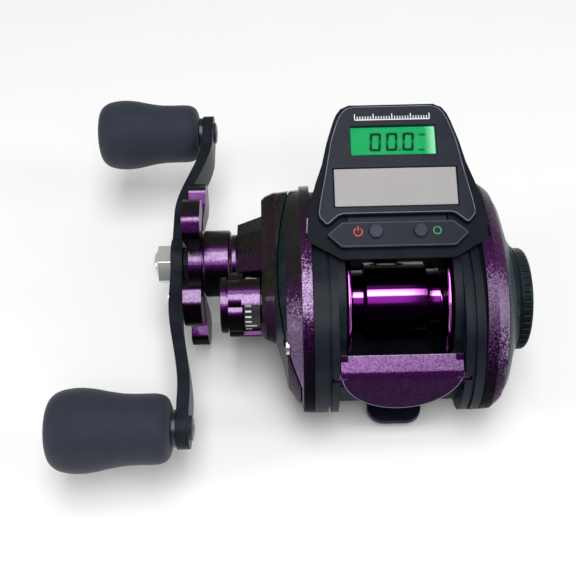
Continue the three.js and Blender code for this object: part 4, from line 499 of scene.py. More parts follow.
# %% Display finishes
GLOW_HALF = 10.9
GLOW_FROM, GLOW_SHARE = 0.75, 0.75
CLOUD = 3.0
CELL_LINES, LINE_SHARE = (0.9, 1.0), 0.35
CELL_PATCH, CELL_ROUGH = 9.0, (0.3, 0.4)
HAZE = 2.0


def glowing(name):
    finish = Finish(name, roughness=0.4, emission_strength=1.0, specular_ior_level=0.04)
    along = finish.node("ShaderNodeSeparateXYZ", values=(finish.place(),), out="X")
    near_lamp = finish.fade(along, GLOW_FROM * GLOW_HALF, GLOW_HALF)
    green = finish.blend(finish.noise(CLOUD), tone("00ac5c"), tone("04b868"))
    lit = finish.blend(near_lamp * GLOW_SHARE, green, tone("a8ffd0"))
    finish.give(base_color=tone("04140c"), emission_color=lit)
    return finish.material


def solar(name):
    finish = Finish(name, coat_weight=0.3, coat_roughness=0.08, specular_ior_level=0.2)
    lines = finish.node(
        "ShaderNodeTexWave", {"bands_direction": "X"},
        {"Vector": finish.place(), "Scale": 0.5, "Distortion": 0.0},
    )
    wide = finish.noise(CELL_PATCH)
    base = finish.blend(wide, tone("98999a"), tone("948e8b"))
    finish.give(
        base_color=finish.blend(finish.fade(lines, *CELL_LINES) * LINE_SHARE, base, tone("757577")),
        roughness=finish.between(wide, *CELL_ROUGH),
    )
    return finish.material


def clear(name):
    finish = Finish(name, roughness=0.04, alpha=0.03, coat_weight=0.0)
    finish.give(base_color=finish.blend(finish.noise(HAZE), tone("0c3a26"), tone("12402c")))
    return finish.material


finishes |= {"lcd": glowing("lcd"), "solar": solar("solar"), "window": clear("window")}
slot_of = {row["node"]: row["material_slot"] for row in frame["record"]["subparts"]}
print("slots without a finish:", sorted(set(slot_of.values()) - set(finishes)))

# %% [markdown]
# Every solid first gets the finish of its slot, so the parts inside the reel
# are dressed as well. Their shapes are right as they are. A bevel modifier
# rounds their edges, after a weld modifier has joined the corners of their
# triangles. The screw in the side cover is bright on the real reel, so it gets
# steel.

# %% Dress the solids
SOLID_EDGE = 0.15
CREASE = math.radians(30)
BEVEL_STEPS = 2
WELD_REACH = 0.001


def soften(piece, edge, crease=CREASE):
    bevel = piece.modifiers.new("soft edges", "BEVEL")
    bevel.width = edge * MM
    bevel.segments = BEVEL_STEPS
    bevel.limit_method = "ANGLE"
    bevel.angle_limit = crease
    bevel.harden_normals = True


for name, node in nodes.items():
    node.data.materials.clear()
    node.data.materials.append(finishes[slot_of[name]])
    weld = node.modifiers.new("weld", "WELD")
    weld.merge_threshold = WELD_REACH * MM
    soften(node, SOLID_EDGE)
nodes["cover_screw"].data.materials[0] = finishes["steel"]
print("dressed", len(nodes), "solids")

# %% [markdown]
# Fine shapes are built from three things: a skin over rings of points, a turned
# profile, and boolean cuts and joins. They could be sculpted by hand as well,
# but measures written as numbers stay true to the part. The first helper lays a
# closed skin over rings. A prism is the shortest such skin, and a block is a
# prism over a rectangle.

# %% Skins and prisms
MERGE = 1e-4    # points nearer than this become one


def solid(points, faces, place=REEL):
    mesh = bpy.data.meshes.new("shape")
    mesh.from_pydata([place @ Vector(point) for point in points], [], faces)
    shell = bmesh.new()
    shell.from_mesh(mesh)
    bmesh.ops.remove_doubles(shell, verts=shell.verts, dist=MERGE)
    bmesh.ops.recalc_face_normals(shell, faces=shell.faces)
    shell.to_mesh(mesh)
    shell.free()
    shape = bpy.data.objects.new("shape", mesh)
    bpy.context.scene.collection.objects.link(shape)
    return shape


def skin(rings, place=REEL, flat=True):
    """A closed skin over rings with equal counts of points. Where it isn't flat, triangles make it."""
    count = len(rings[0])
    last = (len(rings) - 1) * count
    faces = [tuple(reversed(range(count))), tuple(range(last, last + count))]
    for start in range(0, last, count):
        for i in range(count):
            j = (i + 1) % count
            a, b, c, d = start + i, start + j, start + count + j, start + count + i
            faces += [(a, b, c, d)] if flat else [(a, b, c), (a, c, d)]
    return solid([point for ring in rings for point in ring], faces, place)


def prism_x(outline, start, end, place=REEL):
    return skin([[(x, y, z) for y, z in outline] for x in (start, end)], place)


def prism_z(outline, start, end, place=DISPLAY):
    return skin([[(x, y, z) for x, y in outline] for z in (start, end)], place)


def slab(x0, y0, x1, y1):
    """The corners of a rectangle."""
    return [(x0, y0), (x1, y0), (x1, y1), (x0, y1)]


def block(low, high, place=REEL):
    (x0, y0, z0), (x1, y1, z1) = low, high
    return prism_z(slab(x0, y0, x1, y1), z0, z1, place)


print("points closer than", MERGE, "mm are merged")

# %% [markdown]
# Much of a reel comes from a lathe: spool, dial, nut, knobs and bores. One
# helper turns a profile about an axis along X, which is how the real part is
# made, and a rod is the simplest profile.

# %% Turned shapes
ROUND, SMALL = 96, 32     # the sides of a wide turned shape, and of a narrow one


def round_of(count):
    """The angles of equal steps round a circle."""
    return [2 * math.pi * i / count for i in range(count)]


def arc(radius, angles, at=(0, 0)):
    """Points of a circle at the given angles."""
    return [(at[0] + radius * math.cos(a), at[1] + radius * math.sin(a)) for a in angles]


def turned(profile, place=REEL, sides=ROUND, at=(0, 0)):
    """A profile of (place along X, radius) turned about an axis along X."""
    points, faces = [], []
    count = len(profile)
    for i, angle in enumerate(round_of(sides)):
        points += [(x, *arc(radius, [angle], at)[0]) for x, radius in profile]
        here, following = i * count, (i + 1) % sides * count
        faces += [(here + j, following + j, following + j + 1, here + j + 1) for j in range(count - 1)]
    return solid(points, faces, place)


def rod(radius, start, end, place=REEL, sides=ROUND, at=(0, 0)):
    return turned([(start, 0), (start, radius), (end, radius), (end, 0)], place, sides, at)


print("turned shapes have", ROUND, "or", SMALL, "sides")

# %% [markdown]
# Holes, slots and pockets are cut with booleans, as a mill would cut them. The
# exact solver is slower than the fast one, and it is sure where faces touch. The
# modifiers are turned into mesh at once, and the tools are thrown away.

# %% Cuts and joins
OVERRUN = 1.0    # how far a cutting tool reaches past the cut


def combine(base, operation, others):
    for other in others:
        step = base.modifiers.new(operation, "BOOLEAN")
        step.operation = operation
        step.solver = "EXACT"
        step.object = other
    graph = bpy.context.evaluated_depsgraph_get()
    base.data = bpy.data.meshes.new_from_object(base.evaluated_get(graph))
    base.modifiers.clear()
    for other in others:
        bpy.data.objects.remove(other)
    return base


def carve(base, *others):
    return combine(base, "DIFFERENCE", others)


def fuse(base, *others):
    return combine(base, "UNION", others)


def share(base, *others):
    return combine(base, "INTERSECT", others)


print("cutting tools reach", OVERRUN, "mm past a cut")

# %% [markdown]
# A finished shape becomes a piece: it gets its name and its finish, its edges
# are rounded, it rides on a body and it takes the place of the solids that it
# stands for. The bevel comes last, so that cut edges get it as well.

# %% Showing a piece
def show(shape, name, body, slot, hides=(), edge=0.2, crease=CREASE, finish=None):
    """Makes a shape a piece on a body. Its finish is the slot's, unless another is named."""
    shape.name = name
    shape.data.name = name
    shape.data.transform(Matrix.Scale(MM, 4))
    shape.data.materials.clear()
    shape.data.materials.append(finishes[finish or slot])
    shape.data.shade_smooth()
    shape.data.set_sharp_from_angle(angle=crease)
    if edge:
        soften(shape, edge, crease)
    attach(shape, body)
    if hides:
        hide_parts(*hides)
    print(name, len(shape.data.polygons), "faces")
    return shape


print("sharp edges are steeper than", round(math.degrees(CREASE)), "degrees")

# %% [markdown]
# The side plates and covers share one outline, an egg that is lower at the
# back. It is a smooth curve through points that are shares of the four reaches.
# A cover changes from that outline to another one, so both are sampled on the
# same rays from one centre, and a ring can then be a blend of two.

# %% Side outline
SIDE_FRONT, SIDE_REAR = 36.0, 27.5
SIDE_TOP, SIDE_BOTTOM = 22.8, 20.9
SIDE_STEPS = 8
SIDE_SHARES = [
    (1, -0.06), (0.955, 0.3), (0.79, 0.72), (0.56, 0.93), (0.22, 1), (-0.1, 0.965),
    (-0.42, 0.85), (-0.7, 0.6), (-0.91, 0.2), (-1, -0.25), (-0.955, -0.64), (-0.74, -0.89),
    (-0.3, -0.985), (0.22, -1), (0.61, -0.945), (0.87, -0.64),
]


def smooth(points, steps, closed=True):
    """A smooth curve through the points, closed to a loop or open at both ends.

    A cubic piece joins each two points and leans there on their neighbours.
    """
    curve = []
    count = len(points)
    for i in range(count if closed else count - 1):
        near = [(i + k) % count if closed else min(max(i + k, 0), count - 1) for k in (-1, 0, 1, 2)]
        a, b, c, d = (Vector(points[k]) for k in near)
        for step in range(steps):
            t = step / steps
            spot = b + (c - a) * (t / 2) + (2 * a - 5 * b + 4 * c - d) * (t * t / 2)
            curve.append(tuple(spot + (3 * b - 3 * c + d - a) * (t ** 3 / 2)))
    return curve if closed else [*curve, tuple(points[-1])]


def side_outline(inset=0.0, top=SIDE_TOP):
    return smooth([
        (forward * ((SIDE_FRONT if forward > 0 else SIDE_REAR) - inset),
         rise * ((top if rise > 0 else SIDE_BOTTOM) - inset))
        for forward, rise in SIDE_SHARES
    ], SIDE_STEPS)


print("side outline has", len(side_outline()), "points")

# %% Rings on rays
RAYS = 128
CENTRE_SHARE = 0.4
CENTRE = tuple(CENTRE_SHARE * part for part in DRIVE_AT)
GEAR_ROUND_AT = (15.3, 0.4)
TINY = 1e-9


def ray_ring(outline, count=RAYS):
    """Where rays from the centre meet an outline."""
    ring = []
    edges = list(zip(outline, outline[1:] + outline[:1]))
    for angle in round_of(count):
        dy, dz = math.cos(angle), math.sin(angle)
        reach = 0
        for (y0, z0), (y1, z1) in edges:
            across = dy * (z1 - z0) - dz * (y1 - y0)
            if across:
                away = ((y0 - CENTRE[0]) * (z1 - z0) - (z0 - CENTRE[1]) * (y1 - y0)) / across
                part = ((y0 - CENTRE[0]) * dz - (z0 - CENTRE[1]) * dy) / across
                if away > reach and -TINY <= part <= 1 + TINY:
                    reach = away
        ring.append((CENTRE[0] + dy * reach, CENTRE[1] + dz * reach))
    return ring


def side_ring(inset):
    return ray_ring(side_outline(inset))


def disc_ring(radius):
    return ray_ring(arc(radius, round_of(RAYS)))


def belt_ring(round_radius, spool_radius):
    """The outline of a band laid round the gear box's disc and the spool axis."""
    gap = math.hypot(*GEAR_ROUND_AT)
    lean = math.atan2(GEAR_ROUND_AT[1], GEAR_ROUND_AT[0])
    opening = math.acos((spool_radius - round_radius) / gap)
    turn = math.pi - opening
    outline = []
    for at, radius, start, sweep in (
        (GEAR_ROUND_AT, round_radius, lean - turn, 2 * turn),
        ((0, 0), spool_radius, lean + turn, 2 * opening),
    ):
        outline += arc(radius, [start + sweep * i / SMALL for i in range(SMALL + 1)], at)
    return ray_ring(outline)


def mixed_ring(first, second, part):
    return [(a + (c - a) * part, b + (d - b) * part) for (a, b), (c, d) in zip(first, second)]


def at_x(x, ring):
    return [(x, y, z) for y, z in ring]


print("the rays start at", [round(part, 1) for part in CENTRE], "mm from the spool axis")

# %% [markdown]
# The display roofs the front of the reel. Its outline is drawn in the tilted
# plane as one half and mirrored. Grown by a gap and pushed down, the same
# outline trims the plates and covers under it.

# %% Display outlines
RUNNING_GAP, SNUG_GAP = 0.3, 0.15
PANEL_THICKNESS = 1.4
DECK_THICKNESS = 1.5
CORNER_SHARE = 0.45       # how much of an edge one rounded corner may take
HOUSING_HALF, HOUSING_LENGTH = 23.2, 42.0
# Shares of the half width and of the length, and how far growth moves the corner along
HOUSING_SHARES = [
    (0.483, -0.019, -1), (0.578, 0.005, -0.8), (0.634, 0.048, -0.3), (0.672, 0.1, 0), (0.75, 0.238, 0),
    (0.81, 0.381, 0), (0.884, 0.5, 0), (0.974, 0.667, 0), (1, 0.879, 0), (0.621, 1, 1),
]


def mirrored(half):
    return [(x, -along) for x, along in half] + [(-x, -along) for x, along in reversed(half)]


def rounded(points, radius, steps=5):
    """The outline with each corner turned into a small arc."""
    result = []
    count = len(points)
    for i in range(count):
        before, corner, after = (Vector(points[(i + k) % count]) for k in (-1, 0, 1))
        back, ahead = (before - corner), (after - corner)
        reach = min(radius, CORNER_SHARE * back.length, CORNER_SHARE * ahead.length)
        start, end = corner + back.normalized() * reach, corner + ahead.normalized() * reach
        for step in range(steps + 1):
            t = step / steps
            result.append(tuple(start * (1 - t) ** 2 + corner * (2 * t * (1 - t)) + end * t * t))
    return result


def housing_outline(grow=0.0):
    return mirrored([
        (half * HOUSING_HALF + grow, along * HOUSING_LENGTH + push * grow)
        for half, along, push in HOUSING_SHARES
    ])


def display_cut():
    low = -PANEL_THICKNESS - DECK_THICKNESS - RUNNING_GAP
    return prism_z(housing_outline(RUNNING_GAP), low, SIDE_TOP)


print("housing outline has", len(housing_outline()), "corners")

# %% [markdown]
# The frame is one casting: two side plates with a groove and a rim, a lower
# deck, a bar over the front and a short lip round each spool flange. It is
# fused from prisms on the shared outline, and then bored. A casting could be
# drawn as one mesh, but every bore here has to sit on the axis of a real solid,
# and a cut made from the same numbers can't miss it.

# %% Measures of the frame
FRAME_TOP = 19.2
PLATE_IN, PLATE_OUT = 15.75, 17.6
RIM_IN, RIM_OUT, PALM_RIM_OUT = 18.4, 22.0, 20.7
GROOVE_DEPTH = 1.1
RIM_WALL = 1.8
LIP_REACH, LIP_RADIUS, LIP_WALL = 13.7, 17.1, 1.2
FOOT_TOP = 2.6 - spool_middle.z
DECK = [
    (-20.5, -8), (-21.5, -9), (-21.5, -15.5), (-17, FOOT_TOP), (26, FOOT_TOP), (31, -16.6),
    (31, -12.4), (23, -12.4), (23, -16.6), (0, -16.6), (0, -8),
]
BAR = [(10.4, 15), (19, 15), (19, 18.2), (10.4, 18.2)]
THUMB_REAR, THUMB_WALL = 26.1, 1.8
TAB, SLOT_LOW, SLOT_TOP = 1.2, -5.5, 1.5
END_BEARING, PINION_HOLE = 4.35, 2.5
SHAFT_BEARING, SHAFT_BEARING_FROM = 4.55, 16.05
BEARING_SEAT = 3.15
GUIDE_BAR_HOLE = 1.35
POST_AT, POST_RADIUS, POST_END = 9.0, 0.9, 21.9
print("the plates stand", 2 * PLATE_IN, "mm apart")

# %% Frame
def make_side(side, rim_end):
    """One side plate with its groove, its rim and the lip round the spool."""
    outer = side_outline(0, FRAME_TOP)
    groove = side_outline(GROOVE_DEPTH, FRAME_TOP)
    pocket = side_outline(RIM_WALL, FRAME_TOP)
    near, far = side * LIP_REACH, side * (PLATE_IN + SNUG_GAP)
    edge = LIP_RADIUS + LIP_WALL
    return [
        prism_x(outer, side * PLATE_IN, side * PLATE_OUT),
        carve(
            prism_x(groove, side * (PLATE_OUT - SNUG_GAP), side * (RIM_IN + SNUG_GAP)),
            prism_x(pocket, side * PLATE_OUT, side * rim_end),
        ),
        carve(
            prism_x(outer, side * RIM_IN, side * rim_end),
            prism_x(pocket, side * (RIM_IN - OVERRUN), side * (rim_end + OVERRUN)),
        ),
        turned([(near, LIP_RADIUS), (near, edge), (far, edge), (far, LIP_RADIUS), (near, LIP_RADIUS)]),
    ]


def thumb_slot(side):
    low, high = sorted((side * (PLATE_IN - OVERRUN), side * (PLATE_OUT + SNUG_GAP)))
    middle = -THUMB_REAR + THUMB_WALL / 2
    return block((low, middle - TAB, SLOT_LOW), (high, middle + TAB, SLOT_TOP))


def make_frame():
    reach = PLATE_IN + SNUG_GAP
    through = PLATE_OUT + OVERRUN
    body = fuse(
        prism_x(DECK, -reach, reach), prism_x(BAR, -reach, reach),
        *make_side(-1, RIM_OUT), *make_side(1, PALM_RIM_OUT),
    )
    body = carve(
        body,
        rod(LIP_RADIUS, -PLATE_IN, through),
        rod(END_BEARING, -PLATE_IN - SNUG_GAP, -through),
        rod(PINION_HOLE, -PLATE_IN + OVERRUN, -through, sides=SMALL),
        rod(SHAFT_BEARING, -SHAFT_BEARING_FROM, -through, at=DRIVE_AT),
        rod(BEARING_SEAT, -PLATE_IN + OVERRUN, -through, sides=SMALL, at=WORM_AT),
        rod(BEARING_SEAT, PLATE_IN - OVERRUN, through, sides=SMALL, at=WORM_AT),
        rod(GUIDE_BAR_HOLE, -through, through, sides=SMALL, at=drawn("guide_bar")),
        thumb_slot(-1), thumb_slot(1), display_cut(),
    )
    return fuse(body, *(
        rod(POST_RADIUS, -PLATE_OUT + SNUG_GAP, -POST_END, sides=SMALL, at=(0, z))
        for z in (-POST_AT, POST_AT)
    ))


show(make_frame(), "cast_frame", "reel_body", "frame_black", ["frame"], edge=0.35)

# %% [markdown]
# The spool is one turned shape. Its barrel steps down at both ends, the flanges
# have rounded rims, and the palm side is hollow for the brake magnets. Rounds
# are drawn in the profile rather than with a bevel, because the rim's glint
# follows its exact curve.

# %% Spool
SPOOL_HALF = 13.5
FLANGE, FLANGE_THICKNESS = 16.5, 1.4
BARREL, BARREL_HALF, BARREL_CORNER = 10.6, 8.2, 0.5
STEP_RADIUS, STEP_CORNER, ROOT_CORNER = 8.6, 0.6, 0.8
HOLLOW_WALL = 1.2
SEAT_RADIUS, SEAT_END, SPOOL_BORE = 3.2, 11, 2.35
RIGHT_ANGLE = math.pi / 2


def fillet(centre, radius, start, sweep=RIGHT_ANGLE, steps=6):
    """Points of a small arc on a profile."""
    return arc(radius, [start + sweep * i / steps for i in range(steps + 1)], centre)


def make_spool():
    inner = SPOOL_HALF - FLANGE_THICKNESS
    rim = FLANGE_THICKNESS / 2
    shoulder = (BARREL_HALF - BARREL_CORNER, BARREL - BARREL_CORNER)
    right = [
        *fillet(shoulder, BARREL_CORNER, RIGHT_ANGLE, -RIGHT_ANGLE),
        *fillet((BARREL_HALF + STEP_CORNER, STEP_RADIUS + STEP_CORNER), STEP_CORNER, math.pi),
        *fillet((inner - ROOT_CORNER, STEP_RADIUS + ROOT_CORNER), ROOT_CORNER, -RIGHT_ANGLE),
        *fillet((inner + rim, FLANGE - rim), rim, math.pi, -math.pi),
    ]
    left = [(-x, radius) for x, radius in reversed(right)]
    hollow, floor_at = STEP_RADIUS - HOLLOW_WALL, -inner + HOLLOW_WALL
    inside = [
        (SPOOL_HALF, hollow), (floor_at, hollow), (floor_at, SEAT_RADIUS),
        (SEAT_END, SEAT_RADIUS), (SEAT_END, SPOOL_BORE),
    ]
    return turned([*left, *right, *inside, (-SPOOL_HALF, SPOOL_BORE), left[0]])


show(make_spool(), "turned_spool", "spool", "spool_purple", ["spool"], edge=0, crease=math.radians(40))

# %% [markdown]
# The thumb bar is pressed to free the spool. It is a lip over the spool, a pad
# that falls away to the back and a skirt with a round lower edge, with a small
# ear at each end of the lip and a tab that slides in each side plate. Its
# section is pushed along X and shared with a large rod along Y, which gives the
# round edge.

# %% Thumb bar
THUMB_HALF = 15.4
LIP_FORWARD, LIP_RISE = 20.9, 4.6
LIP_DROP, PAD_DROP, PAD_START = 2, 3.4, 0.6
THUMB_BOTTOM = 12.4
THUMB_ROUND = 0.5
SIDE_BOTTOM_EDGE = -3.0
EAR_WIDTH, EAR_REACH, EAR_FOOT, EAR_TIP = 1.8, 0.9, 3.5, 5.7
TAB_REACH = 1.6
ALONG_Y = REEL @ Matrix.Rotation(RIGHT_ANGLE, 4, "Z")


def at_both_ends(outline, near, far):
    return [prism_x(outline, near, far), prism_x(outline, -far, -near)]


def make_thumb_bar():
    front = -THUMB_REAR + THUMB_WALL
    section = rounded([
        (-LIP_FORWARD, LIP_RISE), (-THUMB_REAR + PAD_START * THUMB_WALL, LIP_RISE - LIP_DROP),
        (-THUMB_REAR, LIP_RISE - PAD_DROP), (-THUMB_REAR, -THUMB_BOTTOM),
        (front, -THUMB_BOTTOM), (front, 0), (-LIP_FORWARD, LIP_RISE - LIP_DROP),
    ], THUMB_ROUND)
    sag = THUMB_BOTTOM - SIDE_BOTTOM_EDGE
    radius = (THUMB_HALF ** 2 + sag ** 2) / (2 * sag)
    roller = rod(
        radius, -THUMB_REAR - OVERRUN, -LIP_FORWARD + OVERRUN, ALONG_Y, 2 * ROUND,
        (0, radius - THUMB_BOTTOM),
    )
    plate = share(prism_x(section, -THUMB_HALF, THUMB_HALF), roller)
    ear = rounded([
        (-LIP_FORWARD, EAR_FOOT), (-LIP_FORWARD - EAR_REACH, EAR_TIP),
        (-LIP_FORWARD - 2 * EAR_REACH, EAR_FOOT),
    ], THUMB_ROUND)
    tab = [(-THUMB_REAR, -TAB), (front, -TAB), (front, TAB), (-THUMB_REAR, TAB)]
    return fuse(
        plate, *at_both_ends(ear, THUMB_HALF - EAR_WIDTH, THUMB_HALF),
        *at_both_ends(tab, THUMB_HALF - TAB_REACH, THUMB_HALF + TAB_REACH),
    )


show(make_thumb_bar(), "pressed_thumb_bar", "thumb_bar", "thumb_paint", ["thumb_bar"], edge=0.25)

# %% [markdown]
# The handle side is a shell that starts on the side outline and turns into a
# belt round the gear box, with a faceted boss where the drive shaft leaves. The
# side of a big roller makes the bowed seam between side cover and gear box cover.
# A thin black slice of the same shell, sunk a little, fills that seam as painted
# shade, so no light falls through it.

# %% Measures of the handle side
COVER_IN = 22.2
STRIP_OUT, STRIP_WIDTH = 24.8, 2.8
COVER_WALL = 1.8
GEAR_FACE = 35.2
BELT_GEAR, BELT_SPOOL = 19, 10.8
BOSS_END, BOSS_RADIUS, BOSS_FOOT, BOSS_SIDES = 42.0, 11.2, 14, 12
SPOOL_BOSS, SPOOL_BOSS_END = 5.2, 40.0
CAST_BODY, CAST_GAP = 8.7, 1.5 * RUNNING_GAP
CAST_RING_OUT = 35.7
CAVITY_OUT, CAVITY_SLOPE = 26.6, 3.4
SHAFT_HOLE = 5.6
CLUTCH_SEAT, CLUTCH_SEAT_END = 8.75, 34.6
CAST_SEAT = 3.7
SEAM_RADIUS, SEAM_OUT, SEAM_RISE, SEAM_STRIP = 80.0, 31.0, 8.0, 0.6
SPLIT_GAP = 0.4
FILLER_DEPTH, FILLER_HALF = 0.9, 0.15
VIEW_TILT = math.radians(130)
COVER_EDGE, COVER_CREASE = 0.3, math.radians(20)
# Shares of the strip's width, inset, and how far the ring has turned into the belt
SHELL_SHARES = [(0, 0.15, 0), (0.05, 1, 0), (1.4, 1.2, 0.3), (2, 1.5, 0.75), (2.5, 2, 1)]
SCREW_AT = (-18, 4.6)
SCREW_HEAD, SCREW_HEAD_FROM = 2.4, 28.0
SCREW_STEM, SCREW_STEM_FROM = 1.15, 24.6
print("the gear box ends", GEAR_FACE, "mm from the middle")

# %% Shell
def make_shell(sunk=0.0):
    """The shell before its seam is cut, or one whose sides are sunk by a depth."""
    def belt(inset):
        return belt_ring(BELT_GEAR - inset - sunk, BELT_SPOOL - inset - sunk)

    near = belt(0)
    rings = [(COVER_IN, side_ring(sunk))]
    for place, inset, turn in SHELL_SHARES:
        rings.append((STRIP_OUT + place * STRIP_WIDTH, mixed_ring(side_ring(inset + sunk), near, turn)))
    rings += [(GEAR_FACE - 1, belt(1)), (GEAR_FACE, belt(2))]
    shell = skin([at_x(-out, ring) for out, ring in reversed(rings)], flat=False)
    foot = -GEAR_FACE + OVERRUN
    boss = carve(
        turned([(-BOSS_END, 0), (-BOSS_END, BOSS_RADIUS), (foot, BOSS_FOOT), (foot, 0)], DRIVE, BOSS_SIDES),
        rod(CAST_BODY + CAST_GAP, -GEAR_FACE, -BOSS_END - OVERRUN),
    )
    shell = fuse(shell, boss, rod(SPOOL_BOSS, foot, -SPOOL_BOSS_END))
    cavity = [(COVER_IN - OVERRUN, 0), (STRIP_OUT, 0), (CAVITY_OUT, CAVITY_SLOPE)]
    inside = -CAVITY_OUT + OVERRUN
    return carve(
        shell,
        skin([at_x(-out, side_ring(COVER_WALL + extra)) for out, extra in reversed(cavity)], flat=False),
        rod(SHAFT_HOLE, inside, -BOSS_END - OVERRUN, DRIVE),
        rod(CLUTCH_SEAT, inside, -CLUTCH_SEAT_END, DRIVE),
        rod(CAST_SEAT, inside, -CAST_RING_OUT + RUNNING_GAP, sides=SMALL),
        rod(BEARING_SEAT, -CAVITY_OUT, -SPOOL_BOSS_END - OVERRUN, sides=SMALL),
        display_cut(),
    )


print("the shell is skinned over", len(SHELL_SHARES) + 3, "rings")

# %% Handle-side covers
def seam_roller(grow):
    """A big roller, seen end on by the camera, whose side is the bowed seam."""
    far = 2 * SIDE_FRONT
    up = (0, SEAM_RISE * math.sin(VIEW_TILT), -SEAM_RISE * math.cos(VIEW_TILT))
    place = (
        REEL @ Matrix.Translation((SEAM_RADIUS - SEAM_OUT, up[1], up[2]))
        @ Matrix.Rotation(VIEW_TILT, 4, "X") @ Matrix.Rotation(RIGHT_ANGLE, 4, "Z")
    )
    roller = rod(SEAM_RADIUS + grow, -far, far, place, 4 * ROUND)
    return fuse(roller, block((-STRIP_OUT - SEAM_STRIP - grow, -far, -far), (0, far, far)))


def make_covers():
    head = [rod(SCREW_HEAD, -SCREW_HEAD_FROM, -GEAR_FACE, sides=SMALL, at=SCREW_AT) for _ in range(2)]
    stem = rod(SCREW_STEM, -SCREW_STEM_FROM, -GEAR_FACE, sides=SMALL, at=SCREW_AT)
    side = carve(share(make_shell(), seam_roller(-SPLIT_GAP / 2)), head[0], stem)
    box = carve(make_shell(), seam_roller(SPLIT_GAP / 2), head[1])
    filler = carve(share(make_shell(FILLER_DEPTH), seam_roller(FILLER_HALF)), seam_roller(-FILLER_HALF))
    return side, box, filler


side_cover, box_cover, seam_shade_piece = make_covers()
# The slice wears the frame's black, painted shade in the seam.
show(seam_shade_piece, "seam_painted_shade", "reel_body", "frame_black", edge=0)
show(
    side_cover, "side_cover", "reel_body", "shift_paint", ["handle_side_cover"], COVER_EDGE, COVER_CREASE,
)
show(
    box_cover, "box_cover", "reel_body", "shift_paint", ["gear_box_cover"], COVER_EDGE, COVER_CREASE,
    finish="box_paint",
)

# %% [markdown]
# The palm side is a shallow dome in two parts, a purple band next to the frame
# and a dark outer cap, which ends in a disc under the brake dial. Both parts are
# cut from one dome, so the split between them is even all the way round.

# %% Measures of the palm side
PALM_IN, PALM_STRIP_OUT, PALM_SPLIT = 20.9, 23.5, 26.7
DOME_END, DOME_RADIUS = 31.2, 14.4
CAVITY_END = 25.3
PLUG, PLUG_BORE, PLUG_FROM, PLUG_MOUTH = 16.6, 15.1, 14.7, 13.7
FLANGE_BORE = 15.6
WEB, WEB_FROM, WEB_END = 15.85, 19.2, 20.7
HUB, HUB_FROM, HUB_TO = 4.9, 17.8, 24.2
HUB_BORE_FROM, HUB_BORE_END = 16.8, 25.2
DISC_SEAT, DISC_SEAT_END = 9.9, 28
SPINDLE_HOLE = 2.7
MAGNET_POSTS, MAGNET_POST, MAGNET_POST_AT = 3, 1.2, 8
MAGNET_POST_FROM, MAGNET_POST_END = 18.2, 21.7
# Shares of the way from frame to split, with the inset of the ring there
RIM_SHARES = [(0, 0), (0.48, 0.15), (0.82, 1.5), (0.99, 2.4)]
# Shares of the way from split to dial, inset, and how far the ring has turned into the disc
CAP_SHARES = [(0.03, 3, 0), (0.33, 5, 0), (0.67, 8, 0.35), (0.93, 10, 0.85), (1, 10, 1)]
print("the dome stands", round(DOME_END - PALM_IN, 1), "mm off the frame")

# %% Palm-side covers
def make_dome():
    disc = disc_ring(DOME_RADIUS)
    rings = [(PALM_IN + place * (PALM_SPLIT - PALM_IN), side_ring(inset)) for place, inset in RIM_SHARES]
    for place, inset, turn in CAP_SHARES:
        out = PALM_SPLIT + place * (DOME_END - PALM_SPLIT)
        rings.append((out, mixed_ring(side_ring(inset), disc, turn)))
    return skin([at_x(x, ring) for x, ring in rings], flat=False)


def make_palm_cover():
    far = 2 * SIDE_FRONT
    inside = [(PALM_IN - OVERRUN, COVER_WALL), (PALM_STRIP_OUT, COVER_WALL), (CAVITY_END, COVER_WALL + 2)]
    cover = carve(
        share(make_dome(), block((0, -far, -far), (PALM_SPLIT - SNUG_GAP, far, far))),
        skin([at_x(x, side_ring(inset)) for x, inset in inside], flat=False),
    )
    plug = carve(rod(PLUG, PLUG_FROM, PALM_IN + OVERRUN), rod(PLUG_BORE, PLUG_MOUTH, CAVITY_END))
    flange = carve(
        prism_x(side_outline(COVER_WALL / 2), PALM_IN, PALM_IN + OVERRUN),
        rod(FLANGE_BORE, PALM_IN - OVERRUN, CAVITY_END),
    )
    cover = fuse(cover, plug, flange, rod(WEB, WEB_FROM, WEB_END), rod(HUB, HUB_FROM, HUB_TO))
    holes = [
        rod(MAGNET_POST, MAGNET_POST_FROM, MAGNET_POST_END, sides=SMALL, at=spot)
        for spot in arc(MAGNET_POST_AT, round_of(MAGNET_POSTS))
    ]
    return carve(
        cover, rod(BEARING_SEAT, HUB_BORE_FROM, HUB_BORE_END, sides=SMALL),
        rod(DISC_SEAT, CAVITY_END - OVERRUN, PALM_SPLIT + OVERRUN), *holes, display_cut(),
    )


def make_palm_cap():
    far = 2 * SIDE_FRONT
    return carve(
        share(make_dome(), block((PALM_SPLIT + SNUG_GAP, -far, -far), (far, far, far))),
        rod(DISC_SEAT, PALM_SPLIT - OVERRUN, DISC_SEAT_END),
        rod(SPINDLE_HOLE, PALM_SPLIT, DOME_END + OVERRUN, sides=SMALL),
        display_cut(),
    )


show(
    make_palm_cover(), "palm_cover", "reel_body", "shift_paint", ["palm_side_cover"], COVER_EDGE,
    COVER_CREASE, finish="palm_paint",
)
show(make_palm_cap(), "palm_cap", "reel_body", "teal_paint", ["palm_side_cap"], COVER_EDGE, COVER_CREASE)

# %% [markdown]
# The brake dial is a turned disc with fine ridges round its rim, on a spindle
# with a cam disc that pushes the magnets. Small rods cut the ridges. A bump in
# the material would be cheaper, but it would leave the rim's outline smooth.

